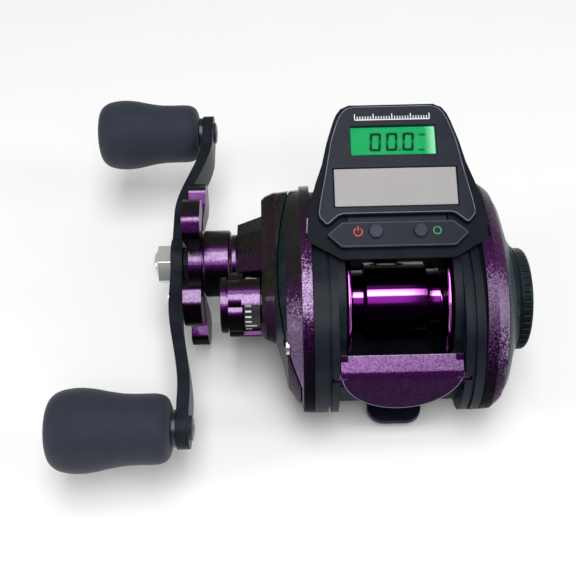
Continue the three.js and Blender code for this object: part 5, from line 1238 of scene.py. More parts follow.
# %% Brake dial
DIAL_RADIUS, DIAL_FROM, DIAL_END, DIAL_ROUND = 13.65, 31.5, 34.7, 1.3
FACE_RADIUS, FACE_DEPTH = 8.4, 0.6
CAM_FROM, CAM_WIDTH, CAM_RADIUS = 25.6, 1.3, 9.6
SPINDLE = 2.4
RIDGES, NOTCH, NOTCH_LIFT, NOTCH_SIDES = 45, 0.45, 0.15, 8
NOTCH_FROM, NOTCH_END = 0.6, 0.3


def make_dial():
    disc = turned([
        (DIAL_FROM, 0), (DIAL_FROM, DIAL_RADIUS - SNUG_GAP), (DIAL_FROM + SNUG_GAP, DIAL_RADIUS),
        *fillet((DIAL_END - DIAL_ROUND, DIAL_RADIUS - DIAL_ROUND), DIAL_ROUND, RIGHT_ANGLE, -RIGHT_ANGLE),
        (DIAL_END, FACE_RADIUS), (DIAL_END - FACE_DEPTH, FACE_RADIUS - FACE_DEPTH),
        (DIAL_END - FACE_DEPTH, 0),
    ])
    angles = [2 * math.pi * (i + 0.5) / RIDGES for i in range(RIDGES)]
    notches = [
        rod(NOTCH, DIAL_FROM + NOTCH_FROM, DIAL_END - NOTCH_END, sides=NOTCH_SIDES, at=spot)
        for spot in arc(DIAL_RADIUS + NOTCH_LIFT, angles)
    ]
    spindle = rod(SPINDLE, CAM_FROM + SNUG_GAP, DIAL_FROM + SNUG_GAP, sides=SMALL)
    return fuse(carve(disc, *notches), spindle, rod(CAM_RADIUS, CAM_FROM, CAM_FROM + CAM_WIDTH))


show(make_dial(), "ridged_dial", "brake_dial", "teal_paint", ["brake_dial"], edge=0.1)

# %% [markdown]
# The cast control is a lobed knob with a rim, and three wings that reach back
# over a black click ring. A fingertip turns it by the lobes, so the outline is a
# circle with a wave cut out of it, and each wing is a piece of the same circle.

# %% Cast control
CAST_BODY_FROM, CAST_BODY_END = 40.4, 44.1
CAST_RIM, CAST_RIM_FROM, CAST_RIM_END = 7.6, 44.7, 46.3
CAST_NECK = 6.9
CAST_BORE, CAST_BORE_END = 5.5, 43.2
LOBES, LOBE_DEPTH = 6, 0.7
WINGS, WING_WALL, WING_HALF, WING_STEPS = 3, 1.1, math.radians(26), 16
CLICK_RING, CLICK_BORE, CLICK_WIDTH = 7.3, 5.6, 4.4


def lobed_outline():
    outline = []
    for angle in round_of(2 * ROUND):
        wave = abs(math.cos(LOBES * (angle - VIEW_TILT + WING_HALF) / 2))
        outline += arc(CAST_BODY - LOBE_DEPTH * (1 - wave) ** 2, [angle])
    return outline


def make_wing(number):
    middle = VIEW_TILT - WING_HALF + 2 * math.pi * number / WINGS
    angles = [middle + WING_HALF * (2 * j / WING_STEPS - 1) for j in range(WING_STEPS + 1)]
    inner = arc(CAST_BODY - WING_WALL, reversed(angles))
    return prism_x(arc(CAST_BODY, angles) + inner, -CAST_RING_OUT, -CAST_BODY_FROM - SNUG_GAP)


def make_cast_knob():
    rim = turned([
        (-CAST_RIM_END, 0), (-CAST_RIM_END, CAST_RIM - SNUG_GAP),
        (-CAST_RIM_END + SNUG_GAP, CAST_RIM), (-CAST_RIM_FROM, CAST_RIM), (-CAST_RIM_FROM, 0),
    ])
    knob = fuse(
        prism_x(lobed_outline(), -CAST_BODY_FROM, -CAST_BODY_END),
        rod(CAST_NECK, -CAST_BODY_END + SNUG_GAP, -CAST_RIM_FROM - SNUG_GAP), rim,
        *(make_wing(number) for number in range(WINGS)),
    )
    return carve(knob, rod(CAST_BORE, -CAST_RING_OUT, -CAST_BORE_END))


def make_click_ring():
    near, far = -CAST_RING_OUT, -CAST_RING_OUT - CLICK_WIDTH
    return turned([
        (far, CLICK_BORE), (far, CLICK_RING), (near, CLICK_RING), (near, CLICK_BORE), (far, CLICK_BORE),
    ])


show(make_cast_knob(), "lobed_knob", "cast_control", "knob_purple", ["cast_control_knob"], edge=0.2)
show(make_click_ring(), "click_ring", "reel_body", "ring_black", ["cast_control_ring"], edge=0.15)

# %% [markdown]
# The click ring carries a scale of plain white strokes. They are single faces a
# hair above the ring, long at every fifth place. Print that follows a round part
# is easiest to place as geometry, because the angles are then the scale itself.

# %% Scale strokes on the click ring
STROKES, LONG_EVERY = 30, 5
LONG_STROKE, SHORT_STROKE = 3.0, 1.6
STROKE_HALF = 0.035       # radians
STROKE_LIFT, STROKE_START = 0.04, 0.4


def make_ring_scale():
    points, faces = [], []
    start = -CAST_RING_OUT - CLICK_WIDTH + STROKE_START
    for i, angle in enumerate(round_of(STROKES)):
        end = start + (SHORT_STROKE if i % LONG_EVERY else LONG_STROKE)
        one, other = arc(CLICK_RING + STROKE_LIFT, [angle - STROKE_HALF, angle + STROKE_HALF])
        base = len(points)
        points += [(start, *one), (end, *one), (end, *other), (start, *other)]
        faces.append((base, base + 1, base + 2, base + 3))
    return solid(points, faces)


show(make_ring_scale(), "ring_scale", "reel_body", "ring_black", edge=0, finish="white_print")

# %% [markdown]
# The star drag is a sleeve and a thin hub with five arms that grow wider and
# thicker towards their tips. An arm is its side view, pushed through the arm's
# width, shared with its plan, and it is turned into place. Two flat drawings
# shared like this give a shape with straight flanks, as a forged arm has.

# %% Star drag
STAR_OUT = 44.2
SLEEVE_END, SLEEVE_RADIUS, SLEEVE_ROUND = 51.6, 9.4, 0.5
SHAFT_RADIUS = 3.3
STAR_ARMS, STAR_TIP, STAR_ROUND = 5, 23.7, 1.2
THIN_TO, THICK_FROM = 12.0, 17.0
STAR_SHARES = [(0.18, 0.093), (0.359, 0.093), (0.591, 0.177), (0.857, 0.278), (1, 0.127)]
ROOT_OUT, HUB_END = 52.0, 55.5
TIP_OUT, TIP_END = 51.2, 56.0
STAR_HUB, STAR_CORE = 9.5, 8


def make_star():
    bore = SHAFT_RADIUS + RUNNING_GAP
    sleeve = turned([
        (-SLEEVE_END, bore), (-SLEEVE_END, SLEEVE_RADIUS - SLEEVE_ROUND),
        (-SLEEVE_END + SLEEVE_ROUND, SLEEVE_RADIUS), (-STAR_OUT - SLEEVE_ROUND, SLEEVE_RADIUS),
        (-STAR_OUT, SLEEVE_RADIUS - SLEEVE_ROUND), (-STAR_OUT, bore), (-SLEEVE_END, bore),
    ], DRIVE)
    root = SHAFT_RADIUS + 1
    side = [
        (root, ROOT_OUT), (THIN_TO, ROOT_OUT), (THICK_FROM, TIP_OUT), (STAR_TIP, TIP_OUT),
        (STAR_TIP, TIP_END), (THICK_FROM, TIP_END), (THIN_TO, HUB_END), (root, HUB_END),
    ]
    half = [(STAR_TIP * reach, STAR_TIP * across) for reach, across in STAR_SHARES]
    plan = rounded([*half, *((y, -z) for y, z in reversed(half))], STAR_ROUND)
    parts = []
    for i in range(STAR_ARMS):
        place = DRIVE @ Matrix.Rotation(VIEW_TILT + 2 * math.pi * (i + 0.5) / STAR_ARMS, 4, "X")
        band = skin([[(-out, reach, z) for reach, out in side] for z in (-STAR_TIP, STAR_TIP)], place)
        parts.append(share(band, prism_x(plan, -TIP_OUT + OVERRUN, -TIP_END - OVERRUN, place)))
    parts.append(rod(STAR_HUB, -ROOT_OUT, -HUB_END, DRIVE))
    parts.append(rod(STAR_CORE, -SLEEVE_END + OVERRUN, -HUB_END, DRIVE))
    return carve(fuse(sleeve, *parts), rod(bore, -STAR_OUT + OVERRUN, -HUB_END - OVERRUN, DRIVE))


show(make_star(), "splayed_star", "star_drag", "knob_purple", ["star_drag"], edge=0.35)

# %% [markdown]
# The crank arm is a flat bar, wide at the hub and at both ends, that bends in
# towards the reel, more at its front end than at its rear end. It could be bent
# with a modifier, but then its holes would bend with it. So its plan and its
# bent side view are shared, and the holes are cut straight afterwards.

# %% Crank arm
ARM_RADIUS, ARM_THICKNESS = 51.7, 3.2
ARM_HUB_OUT, ARM_FRONT_OUT, ARM_REAR_OUT = 57.5, 50.5, 53.7
ARM_FLAT, ARM_BEND = 15.0, 44.0
HUB_RADIUS, WAIST_HALF, END_RADIUS = 7.2, 4.7, 5.3
PLAN_STEPS, BEND_STEPS = 160, 24
ARM_BORE, KNOB_BORE, SCREW_BORE = 3.45, 2.3, 0.95
RETAINER_AT = (-11.5, 0)


def smooth_step(value, low, high):
    part = min(1, max(0, (value - low) / (high - low)))
    return part * part * (3 - 2 * part)


def arm_half(along):
    reach = abs(along)
    half = WAIST_HALF + (END_RADIUS - WAIST_HALF) * smooth_step(reach, HUB_RADIUS, ARM_RADIUS - END_RADIUS)
    if reach < HUB_RADIUS:
        half = max(half, math.sqrt(HUB_RADIUS ** 2 - reach ** 2))
    if reach > ARM_RADIUS:
        half = math.sqrt(max(0, END_RADIUS ** 2 - (reach - ARM_RADIUS) ** 2))
    return half


def make_arm():
    reach = ARM_RADIUS + END_RADIUS
    places = [reach * math.sin(math.pi * (i / PLAN_STEPS - 0.5)) for i in range(PLAN_STEPS + 1)]
    top = [(along, arm_half(along)) for along in places]
    bottom = [(along, -half) for along, half in reversed(top[1:-1])]
    start, end = -ARM_FRONT_OUT + OVERRUN, -ARM_HUB_OUT - ARM_THICKNESS - OVERRUN
    plan = prism_x(top + bottom, start, end, HANDLE)
    bends = [ARM_FLAT + (ARM_BEND - ARM_FLAT) * i / BEND_STEPS for i in range(BEND_STEPS + 1)] + [reach]
    inner = []
    for along in [-place for place in reversed(bends)] + bends:
        end_out = ARM_FRONT_OUT if along > 0 else ARM_REAR_OUT
        drop = (ARM_HUB_OUT - end_out) * smooth_step(abs(along), ARM_FLAT, ARM_BEND)
        inner.append((along, ARM_HUB_OUT - drop))
    outer = [(along, out + ARM_THICKNESS) for along, out in reversed(inner)]
    half = 2 * HUB_RADIUS
    band = skin([[(-out, along, z) for along, out in inner + outer] for z in (-half, half)], HANDLE)
    return carve(
        share(band, plan), rod(ARM_BORE, start, end, HANDLE),
        rod(KNOB_BORE, start, end, HANDLE, SMALL, (ARM_RADIUS, 0)),
        rod(KNOB_BORE, start, end, HANDLE, SMALL, (-ARM_RADIUS, 0)),
        rod(SCREW_BORE, start, end, HANDLE, SMALL, RETAINER_AT),
    )


show(make_arm(), "bent_arm", "handle", "arm_black", ["handle_arm"], edge=0.5)

# %% [markdown]
# A hexagonal nut with a low dome holds the crank on its shaft, a small slotted
# screw beside it keeps the nut from turning, and a thin purple ring lies behind
# the star. The nut is a prism fused with a turned dome, the others are turned.

# %% Nut, its screw and the ring
NUT_OUT, NUT_HEIGHT, NUT_HALF, NUT_SIDES = 60.7, 3.9, 5, 6
NUT_DOME, DOME_RISE, DOME_STEPS, NUT_DEPTH = 4.1, 2, 16, 3.1
HEAD_RADIUS, HEAD_HEIGHT, HEAD_CORNER, HEAD_SIDE = 1.9, 1, 0.5, 0.6
STEM_RADIUS = 0.8
SLOT_HALF, SLOT_DEPTH, SLOT_FROM, SLOT_TO = 0.22, 0.45, -14, -9
SPACER_FROM, SPACER_END, SPACER_RADIUS, SPACER_ROUND = 42.3, 43.9, 8.1, 0.3


def make_nut():
    hexagon = arc(NUT_HALF / math.cos(math.pi / NUT_SIDES), round_of(NUT_SIDES))
    base = NUT_OUT + NUT_HEIGHT
    angles = [RIGHT_ANGLE * i / DOME_STEPS for i in range(DOME_STEPS + 1)]
    dome = [(-base - DOME_RISE * math.cos(a), NUT_DOME * math.sin(a)) for a in angles]
    nut = fuse(
        prism_x(hexagon, -NUT_OUT, -base, HANDLE),
        turned([*dome, (-base + SNUG_GAP, NUT_DOME), (-base + SNUG_GAP, 0)], HANDLE, SMALL),
    )
    return carve(nut, rod(ARM_BORE, -NUT_OUT + OVERRUN, -NUT_OUT - NUT_DEPTH, HANDLE))


def make_retainer():
    top = -NUT_OUT - HEAD_HEIGHT
    head = turned([
        (top, 0), (top, HEAD_RADIUS - HEAD_CORNER), (-NUT_OUT - HEAD_SIDE, HEAD_RADIUS),
        (-NUT_OUT, HEAD_RADIUS), (-NUT_OUT, 0),
    ], HANDLE, SMALL, RETAINER_AT)
    stem = rod(STEM_RADIUS, -ARM_HUB_OUT - SNUG_GAP, -NUT_OUT - SNUG_GAP, HANDLE, SMALL, RETAINER_AT)
    slot = block((top - OVERRUN, SLOT_FROM, -SLOT_HALF), (top + SLOT_DEPTH, SLOT_TO, SLOT_HALF), HANDLE)
    return carve(fuse(head, stem), slot)


def make_spacer():
    near, far, face = -SPACER_FROM, -SPACER_END, SPACER_RADIUS - SPACER_ROUND
    return turned([
        (far, ARM_BORE), (far, face), (far + SPACER_ROUND, SPACER_RADIUS),
        (near - SPACER_ROUND, SPACER_RADIUS), (near, face), (near, ARM_BORE), (far, ARM_BORE),
    ], HANDLE)


show(make_nut(), "domed_nut", "handle", "chrome", ["handle_nut"], edge=0.25)
show(make_retainer(), "slotted_retainer", "handle", "chrome", ["nut_retainer_screw"], edge=0.08)
show(make_spacer(), "spacer_ring", "handle", "knob_purple", ["drag_spacer"], edge=0)

# %% [markdown]
# Each knob is a paddle-like grip, turned here from a smooth curve through the
# profile's points. Its shaft has a flat collar and a rivet head on the arm. The
# grips are alike, and only the arm's bend sets how far out each one starts, so
# one loop makes both with their shafts and end caps.

# %% Knobs
KNOB_STAND, KNOB_LENGTH, KNOB_RADIUS, KNOB_STEPS = 4.8, 31, 10.75, 6
KNOB_SHARES = [
    (0, 0.56), (0.02, 0.7), (0.06, 0.79), (0.13, 0.83), (0.25, 0.83), (0.38, 0.845),
    (0.5, 0.9), (0.61, 0.965), (0.72, 1), (0.82, 0.985), (0.9, 0.93), (0.955, 0.83),
    (0.985, 0.7), (1, 0.52),
]
CAP_SEAT, CAP_SEAT_DEPTH = 4.75, 1.9
AXLE, AXLE_END = 2, 2.2
COLLAR, COLLAR_ROUND, COLLAR_WIDTH = 4.8, 0.2, 1.3
# Steps of the rivet's head and of the cap: (place, radius), from the arm or from the outer face
RIVET_STEPS = [(0, 3.4), (0.6, 3.2), (0.9, 2.4), (0.9, 1.0), (0.55, 0.9), (0.55, 0)]
CAP_OUT = 0.5
CAP_STEPS = [(0, 0), (0, 3.9), (0.15, 4.3), (0.5, 4.6), (1.4, 4.6), (1.4, 0)]


def make_knob(place, arm_out):
    start = arm_out + KNOB_STAND
    end = start + KNOB_LENGTH
    seat = end - CAP_SEAT_DEPTH
    points = [(-(start + part * KNOB_LENGTH), radius * KNOB_RADIUS) for part, radius in KNOB_SHARES]
    return turned([
        (-start, KNOB_BORE), *smooth(points, KNOB_STEPS, closed=False), (-end, CAP_SEAT),
        (-seat, CAP_SEAT), (-seat, KNOB_BORE), (-start, KNOB_BORE),
    ], place)


def make_shaft(place, arm_out):
    end = arm_out + KNOB_STAND + KNOB_LENGTH - AXLE_END
    arm = arm_out + ARM_THICKNESS
    collar = arm + COLLAR_WIDTH
    return turned([
        (-end, 0), (-end, AXLE), (-collar, AXLE), (-collar, COLLAR - COLLAR_ROUND),
        (-collar + COLLAR_ROUND, COLLAR), (-arm - COLLAR_ROUND, COLLAR), (-arm, COLLAR - COLLAR_ROUND),
        (-arm, AXLE), (-arm_out, AXLE), *((step - arm_out, radius) for step, radius in RIVET_STEPS),
    ], place, SMALL)


def make_cap(place, arm_out):
    out = arm_out + KNOB_STAND + KNOB_LENGTH - CAP_OUT
    return turned([(step - out, radius) for step, radius in CAP_STEPS], place)


for name, side, arm_out in (("front", 1, ARM_FRONT_OUT), ("rear", -1, ARM_REAR_OUT)):
    spot = HANDLE @ Matrix.Translation((0, side * ARM_RADIUS, 0))
    knob = f"{name}_knob"
    show(make_knob(spot, arm_out), f"{name}_grip", knob, "grip", [knob], edge=0)
    show(
        make_shaft(spot, arm_out), f"{name}_riveted_shaft", "handle", "steel", [f"{knob}_shaft"], edge=0,
        finish="dark_steel",
    )
    show(make_cap(spot, arm_out), f"{name}_grip_cap", knob, "teal_paint", [f"{knob}_cap"], edge=0)

# %% [markdown]
# The display's face is a dark film on a plate, with two corners that reach
# down at its lower edge. The window and the solar cell lie in openings of it,
# and the figures of the counter stand under the window. Figures and marks are
# thin bars of real geometry, because a mark in a material would need a picture.

# %% Panel
LCD_FRONT, LCD_REAR, LCD_HALF = 6.0, 13.9, 10.9
SOLAR_FRONT, SOLAR_REAR, SOLAR_HALF = 17.9, 28.2, 15.8
SOLAR_DEPTH = 1.0
WINDOW_GAP = 0.15
PANEL_HALF, PANEL_LENGTH, PANEL_ROUND = 20.4, 33.6, 1.2
PANEL_SHARES = [
    (0.52, 0), (0.618, 0.024), (0.681, 0.071), (0.725, 0.125), (0.814, 0.292), (0.902, 0.586),
    (0.98, 0.815), (1, 0.917), (0.882, 1), (0.711, 0.908),
]


def panel_outline():
    half = [(side * PANEL_HALF, along * PANEL_LENGTH) for side, along in PANEL_SHARES]
    return rounded(mirrored(half), PANEL_ROUND)


def opening(half, front, rear, low):
    """The block that cuts a place for a pane, with a gap round it."""
    return block(
        (-half - WINDOW_GAP, -rear - WINDOW_GAP, low),
        (half + WINDOW_GAP, -front + WINDOW_GAP, OVERRUN), DISPLAY,
    )


def make_panel():
    return carve(
        prism_z(panel_outline(), -PANEL_THICKNESS, 0),
        opening(LCD_HALF, LCD_FRONT, LCD_REAR, -PANEL_THICKNESS - OVERRUN),
        opening(SOLAR_HALF, SOLAR_FRONT, SOLAR_REAR, -SOLAR_DEPTH),
    )


show(make_panel(), "face_panel", "reel_body", "panel_gloss", ["display_panel"], edge=0.3)

# %% Window and flat marks
WINDOW_LOW, WINDOW_TOP = -0.8, -0.25
INK = (-1.38, -1.3)       # the heights between which the figures stand
PRINT = (0.0, 0.04)       # and those of print on the panel


def bars(rows, heights=PRINT, place=DISPLAY):
    """Flat bars from outlines, joined into one piece."""
    points, faces = [], []
    for outline in rows:
        base, count = len(points), len(outline)
        points += [(x, y, z) for z in heights for x, y in outline]
        faces.append(tuple(reversed(range(base, base + count))))
        faces.append(tuple(range(base + count, base + 2 * count)))
        for i in range(count):
            j = (i + 1) % count
            faces.append((base + i, base + j, base + count + j, base + count + i))
    return solid(points, faces, place)


show(
    block((-LCD_HALF, -LCD_REAR, WINDOW_LOW), (LCD_HALF, -LCD_FRONT, WINDOW_TOP), DISPLAY),
    "thin_window", "reel_body", "window", ["lcd_window"], edge=0.1,
)

# %% [markdown]
# The counter shows three zeros, a point between the last two, and the marks of
# its unit. A figure is built from six bars with small gaps, as on a real
# segment display, and all bars are leaned over together at the end.

# %% Figures of the counter
FIGURE_LOW, FIGURE_HEIGHT, FIGURE_WIDTH = -12.6, 5.2, 3.0
FIGURES_AT = (-6.2, -1.9, 2.4)
FIGURE_LINE, FIGURE_LEAN, FIGURE_GAP = 0.7, 0.06, 0.25
POINT_AT, POINT_SIZE = 1.5, 0.5
UNIT_AT, UNIT_BARS = 6.6, [(1.8, -8.3, 0.4), (1.6, FIGURE_LOW, 0.35)]


def segment_zero(x, y):
    """The six lit bars of a figure 0, with small gaps at their ends."""
    line, gap, half = FIGURE_LINE, FIGURE_GAP, FIGURE_HEIGHT / 2
    rows = []
    for top in (0, 1):
        edge = y + top * (FIGURE_HEIGHT - line)
        rows.append(slab(x + gap, edge, x + FIGURE_WIDTH - gap, edge + line))
        start = y + top * half + gap
        for left in (x, x + FIGURE_WIDTH - line):
            rows.append(slab(left, start, left + line, start + half - 2 * gap))
    return rows


def make_figures():
    rows = [row for x in FIGURES_AT for row in segment_zero(x, FIGURE_LOW)]
    rows.append(slab(POINT_AT, FIGURE_LOW, POINT_AT + POINT_SIZE, FIGURE_LOW + POINT_SIZE))
    rows += [slab(UNIT_AT, low, UNIT_AT + width, low + line) for width, low, line in UNIT_BARS]
    return bars([[(x + FIGURE_LEAN * (y - FIGURE_LOW), y) for x, y in row] for row in rows], INK)


show(make_figures(), "counter_figures", "reel_body", "lcd", edge=0, finish="counter_ink")

# %% [markdown]
# A ruler of plain strokes fills the upper end of the panel. The edge of a glossy
# plate catches the light, so a hair-thin pale line, a painted highlight, follows
# the panel's outline. The highlight is the outline moved inward twice, and it is
# cut into short bars.

# %% Ruler and painted edge highlights
RULER_HALF, RULER_LOW, RULER_TOP, RULER_FOOT = 9.8, -4.3, -4.05, -4.1
RULER_STROKES, RULER_STEP, RULER_LONG_EVERY = 29, 0.7, 7
RULER_LONG, RULER_SHORT, RULER_STROKE_HALF = 1.6, 0.9, 0.12
PANEL_HIGHLIGHT = (0.35, 0.16)


def inset_of(outline, by):
    """The outline moved inward by a width, corner by corner."""
    result = []
    for i, here in enumerate(outline):
        before, after = (Vector(outline[(i + k) % len(outline)]) for k in (-1, 1))
        along = (after - before).normalized()
        result.append(tuple(Vector(here) + by * Vector((-along.y, along.x))))
    return result


def turned_left(outline):
    """The outline in the sense that has its inside on the left."""
    area = sum(a[0] * b[1] - a[1] * b[0] for a, b in zip(outline, [*outline[1:], outline[0]]))
    return outline if area > 0 else outline[::-1]


def edge_line(outline, start, width):
    """A thin painted highlight that follows an outline inside its edge."""
    loop = turned_left(outline)
    outer, inner = inset_of(loop, start), inset_of(loop, start + width)
    pairs = zip(outer, outer[1:] + outer[:1], inner[1:] + inner[:1], inner)
    return bars([list(corners) for corners in pairs])


def make_ruler():
    rows = [slab(-RULER_HALF, RULER_LOW, RULER_HALF, RULER_TOP)]
    for i in range(RULER_STROKES):
        x = -RULER_HALF + RULER_STEP * i
        length = RULER_SHORT if i % RULER_LONG_EVERY else RULER_LONG
        rows.append(slab(x - RULER_STROKE_HALF, RULER_FOOT, x + RULER_STROKE_HALF, RULER_FOOT + length))
    return bars(rows)


show(make_ruler(), "ruler_marks", "reel_body", "panel_gloss", edge=0, finish="white_print")
panel_highlight = edge_line(panel_outline(), *PANEL_HIGHLIGHT)
show(panel_highlight, "panel_edge_highlight", "reel_body", "panel_gloss", edge=0, finish="edge_light")

# %% [markdown]
# Two rubber buttons stand in a six-sided plate under the panel. The plate hangs
# on a tongue that reaches under the panel, as on a snap-in part, and it gets a
# dimmer painted edge highlight like the panel's.

# %% Button plate
BUTTON_AT, BUTTON_SIDE, BUTTON_HOLE = -35.2, 5.7, 1.9
UPRIGHT = DISPLAY @ Matrix.Rotation(-RIGHT_ANGLE, 4, "Y")
PLATE_HALF = [(14.2, 32.4), (18.2, 35.8), (14.5, 39.3)]
PLATE_ROUND = 0.6
TONGUE = ((-12.7, -32.9, -2.2), (12.7, -29.0, -1.5))
RISER = ((-11.7, -32.75, -2.2), (11.7, -32.4, -0.7))
PLATE_HIGHLIGHT = (0.3, 0.14)


def plate_outline():
    return rounded(mirrored(PLATE_HALF), PLATE_ROUND)


def make_button_plate():
    holes = [
        rod(BUTTON_HOLE, -PANEL_THICKNESS - OVERRUN, OVERRUN, UPRIGHT, SMALL, (BUTTON_AT, -side))
        for side in (-BUTTON_SIDE, BUTTON_SIDE)
    ]
    plate = carve(prism_z(plate_outline(), -PANEL_THICKNESS, 0), *holes)
    return fuse(plate, block(*TONGUE, DISPLAY), block(*RISER, DISPLAY))


show(make_button_plate(), "hexagon_plate", "reel_body", "panel_gloss", ["button_plate"], edge=0.25)
plate_highlight = edge_line(plate_outline(), *PLATE_HIGHLIGHT)
show(plate_highlight, "plate_edge_highlight", "reel_body", "panel_gloss", edge=0, finish="edge_dim")

# %% [markdown]
# A button is turned: a stem, a flange that keeps it from falling out, and a
# crown with a slight dimple. A red ring with a stroke beside it stands for power
# and a green ring for the other button. Both are the usual plain signs.

# %% Buttons
STEM_PROFILE = [(-3, 0), (-3, 0.9), (-2.15, 0.9), (-2.15, 2.2), (-1.55, 2.2), (-1.55, 1.75), (0.6, 1.75)]
CROWN_CENTRE, CROWN_ROUND = (0.55, 1.3), 0.45
DIMPLE = [(1.0, 0.9), (0.9, 0)]


def make_button(side):
    crown = fillet(CROWN_CENTRE, CROWN_ROUND, RIGHT_ANGLE, -RIGHT_ANGLE)
    return turned([*STEM_PROFILE, *crown, *DIMPLE], UPRIGHT, SMALL, (BUTTON_AT, -side))


show(make_button(-BUTTON_SIDE), "power_cap", "power_button", "button_grey", ["power_button"], edge=0)
show(make_button(BUTTON_SIDE), "set_cap", "set_button", "button_grey", ["set_button"], edge=0)

# %% Ring marks
POWER_AT, POWER_RADIUS, POWER_OPEN, POWER_SWEEP = -10.2, 1.2, math.radians(120), math.radians(300)
POWER_STROKE = (0.15, 0.2, 1.5)   # half its width, and its ends over the ring's centre
SET_AT, SET_RADIUS = 9.9, 1.1
MARK_LINE = 0.3


def ring_mark(x, y, radius, line, start=0.0, sweep=2 * math.pi, steps=24):
    rows = []
    for i in range(steps):
        ends = [start + sweep * (i + k) / steps for k in (0, 1)]
        (a, b), (c, d) = (arc(reach, ends, (x, y)) for reach in (radius - line, radius))
        rows.append([a, c, d, b])
    return rows


half, low, high = POWER_STROKE
power = ring_mark(POWER_AT, BUTTON_AT, POWER_RADIUS, MARK_LINE, POWER_OPEN, POWER_SWEEP)
power.append(slab(POWER_AT - half, BUTTON_AT + low, POWER_AT + half, BUTTON_AT + high))
show(bars(power), "power_mark", "reel_body", "panel_gloss", edge=0, finish="red_print")
set_ring = bars(ring_mark(SET_AT, BUTTON_AT, SET_RADIUS, MARK_LINE))
show(set_ring, "set_mark", "reel_body", "panel_gloss", edge=0, finish="green_print")

# %% [markdown]
# The round lower edge of the thumb bar catches the light too, so a painted
# highlight follows it. The highlight is part of a ring mark, drawn in a plane
# that stands upright on the bar's rear face.

# %% Painted edge highlight of the thumb bar
ARC_MIDDLE, ARC_RADIUS, ARC_LINE, ARC_INSET = 3.0, 15.3, 0.22, 0.13
REAR_FACE = REEL @ Matrix.Translation((0, -THUMB_REAR, 0)) @ Matrix.Rotation(RIGHT_ANGLE, 4, "X")
arc_start = math.pi + ARC_INSET
thumb_highlight = ring_mark(
    0, ARC_MIDDLE, ARC_RADIUS, ARC_LINE, arc_start, 3 * math.pi - 2 * arc_start, 4 * SMALL,
)
show(
    bars(thumb_highlight, place=REAR_FACE), "thumb_edge_highlight", "thumb_bar", "thumb_paint", edge=0,
    finish="edge_light",
)

# %% [markdown]
# The studio has three soft lamps. The broad one reaches from overhead to above
# the camera, where the picture's highlights come from, and a tall one on each
# side lights the outer faces. All three stand far off, so the floor is lit
# evenly and only the reel shades it.

# %% Lamps
# Each lamp's angle over the front, distance, place along the axis, size and brightness
LAMPS = {
    "broad_lamp": (106, 800, 0, (360, 850), 5.6),
    "left_lamp": (120, 400, -700, (160, 500), 5.0),
    "right_lamp": (110, 400, 700, (160, 500), 5.0),
}


def add_lamp(name, angle, away, out, size, brightness):
    """A lamp at an angle over the front, seen along the spool axis, and pushed out along it."""
    data = bpy.data.lights.new(name, "AREA")
    data.shape = "RECTANGLE"
    data.size, data.size_y = (side * MM for side in size)
    data.energy = brightness * math.pi * data.size * data.size_y
    lamp = bpy.data.objects.new(name, data)
    lean = math.radians(angle)
    lamp.location = MM * (REEL @ Vector((out, away * math.cos(lean), away * math.sin(lean))))
    lamp.rotation_euler = (MM * REEL.translation - lamp.location).to_track_quat("-Z", "Y").to_euler()
    bpy.context.scene.collection.objects.link(lamp)


for name, settings in LAMPS.items():
    add_lamp(name, *settings)
print(len(LAMPS), "lamps")

# %% [markdown]
# The floor is white paint and the sky a dim grey, so the reel stands on white
# with a soft shadow round it. The white comes from the floor's own colour. More
# light would give it as well, but it would also wash out the dark paints.

# %% Sky and floor
SKY_LEVEL = 0.3
FLOOR_DROP, FLOOR_HALF, FLOOR_DEPTH = 3.0, 3000, 1
SPECKLE = 30

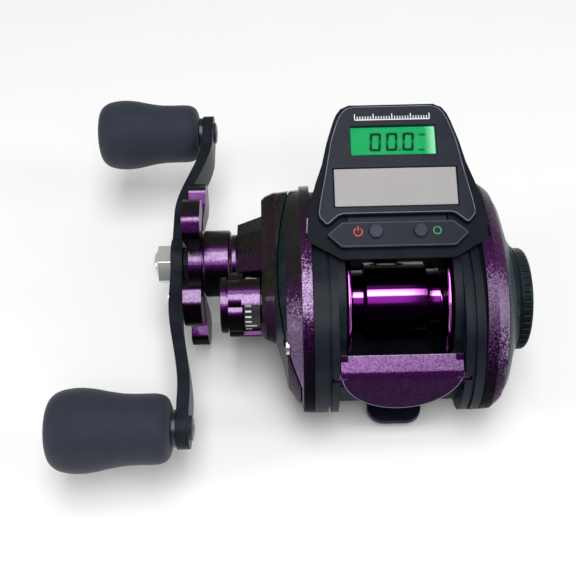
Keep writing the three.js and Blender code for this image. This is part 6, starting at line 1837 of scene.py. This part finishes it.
world = bpy.data.worlds.new("dim_sky")
bpy.context.scene.world = world
world.use_nodes = True
sky = world.node_tree.nodes["Background"]
sky.inputs["Color"].default_value = (1, 1, 1, 1)
sky.inputs["Strength"].default_value = SKY_LEVEL
floor_finish = Finish("floor", roughness=0.9)
speckle = floor_finish.noise(SPECKLE)
floor_finish.give(base_color=floor_finish.blend(speckle, tone("fafafa"), tone("fdfdfd")))
floor = block(
    (-FLOOR_HALF, -FLOOR_HALF, -FLOOR_DEPTH), (FLOOR_HALF, FLOOR_HALF, 0),
    Matrix.Translation((0, 0, -FLOOR_DROP)),
)
floor.data.transform(Matrix.Scale(MM, 4))
floor.name = "floor"
floor.data.materials.append(floor_finish.material)
floor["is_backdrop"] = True
bpy.context.scene.view_settings.view_transform = "Standard"
print("the floor lies", FLOOR_DROP, "mm under the foot's seat")

# %% [markdown]
# The camera stands behind and above the reel, as in the photograph: fifty
# degrees over the horizon, a quarter of a metre away and turned a little. The
# focal length is worked out in pixels, as a fit to a picture gives it, and
# turned into the millimetres that Blender wants.

# %% Camera
LOOK_AT = Vector((-28.3, -3.1, 26.2)) * MM
ELEVATION = math.radians(50)
DISTANCE = 250 * MM
ROLL = math.radians(1.3)
FOCAL_PIXELS, FRAME_PIXELS = 925, 576
SENSOR_WIDTH = 36
CLIP_START = 10 * MM

camera = bpy.data.objects.new("camera", bpy.data.cameras.new("camera"))
bpy.context.scene.collection.objects.link(camera)
back = Vector((0, -math.cos(ELEVATION), math.sin(ELEVATION)))
camera.location = LOOK_AT + DISTANCE * back
camera.rotation_mode = "QUATERNION"
turn = Matrix.Rotation(-ROLL, 3, "Z").to_quaternion()
camera.rotation_quaternion = (-back).to_track_quat("-Z", "Y") @ turn
camera.data.sensor_width = SENSOR_WIDTH
camera.data.lens = SENSOR_WIDTH * FOCAL_PIXELS / FRAME_PIXELS
camera.data.clip_start = CLIP_START
bpy.context.scene.camera = camera
print("the lens is", round(camera.data.lens, 1), "mm long")

# %% [markdown]
# At the end the box round the visible pieces is printed. It should agree with
# the box of the packed solids, because a fine shape mustn't reach past the one
# that it stands for.

# %% Measure and finish
low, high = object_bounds()
print("visual box in mm", [round(v / MM, 1) for v in (*low, *high)])
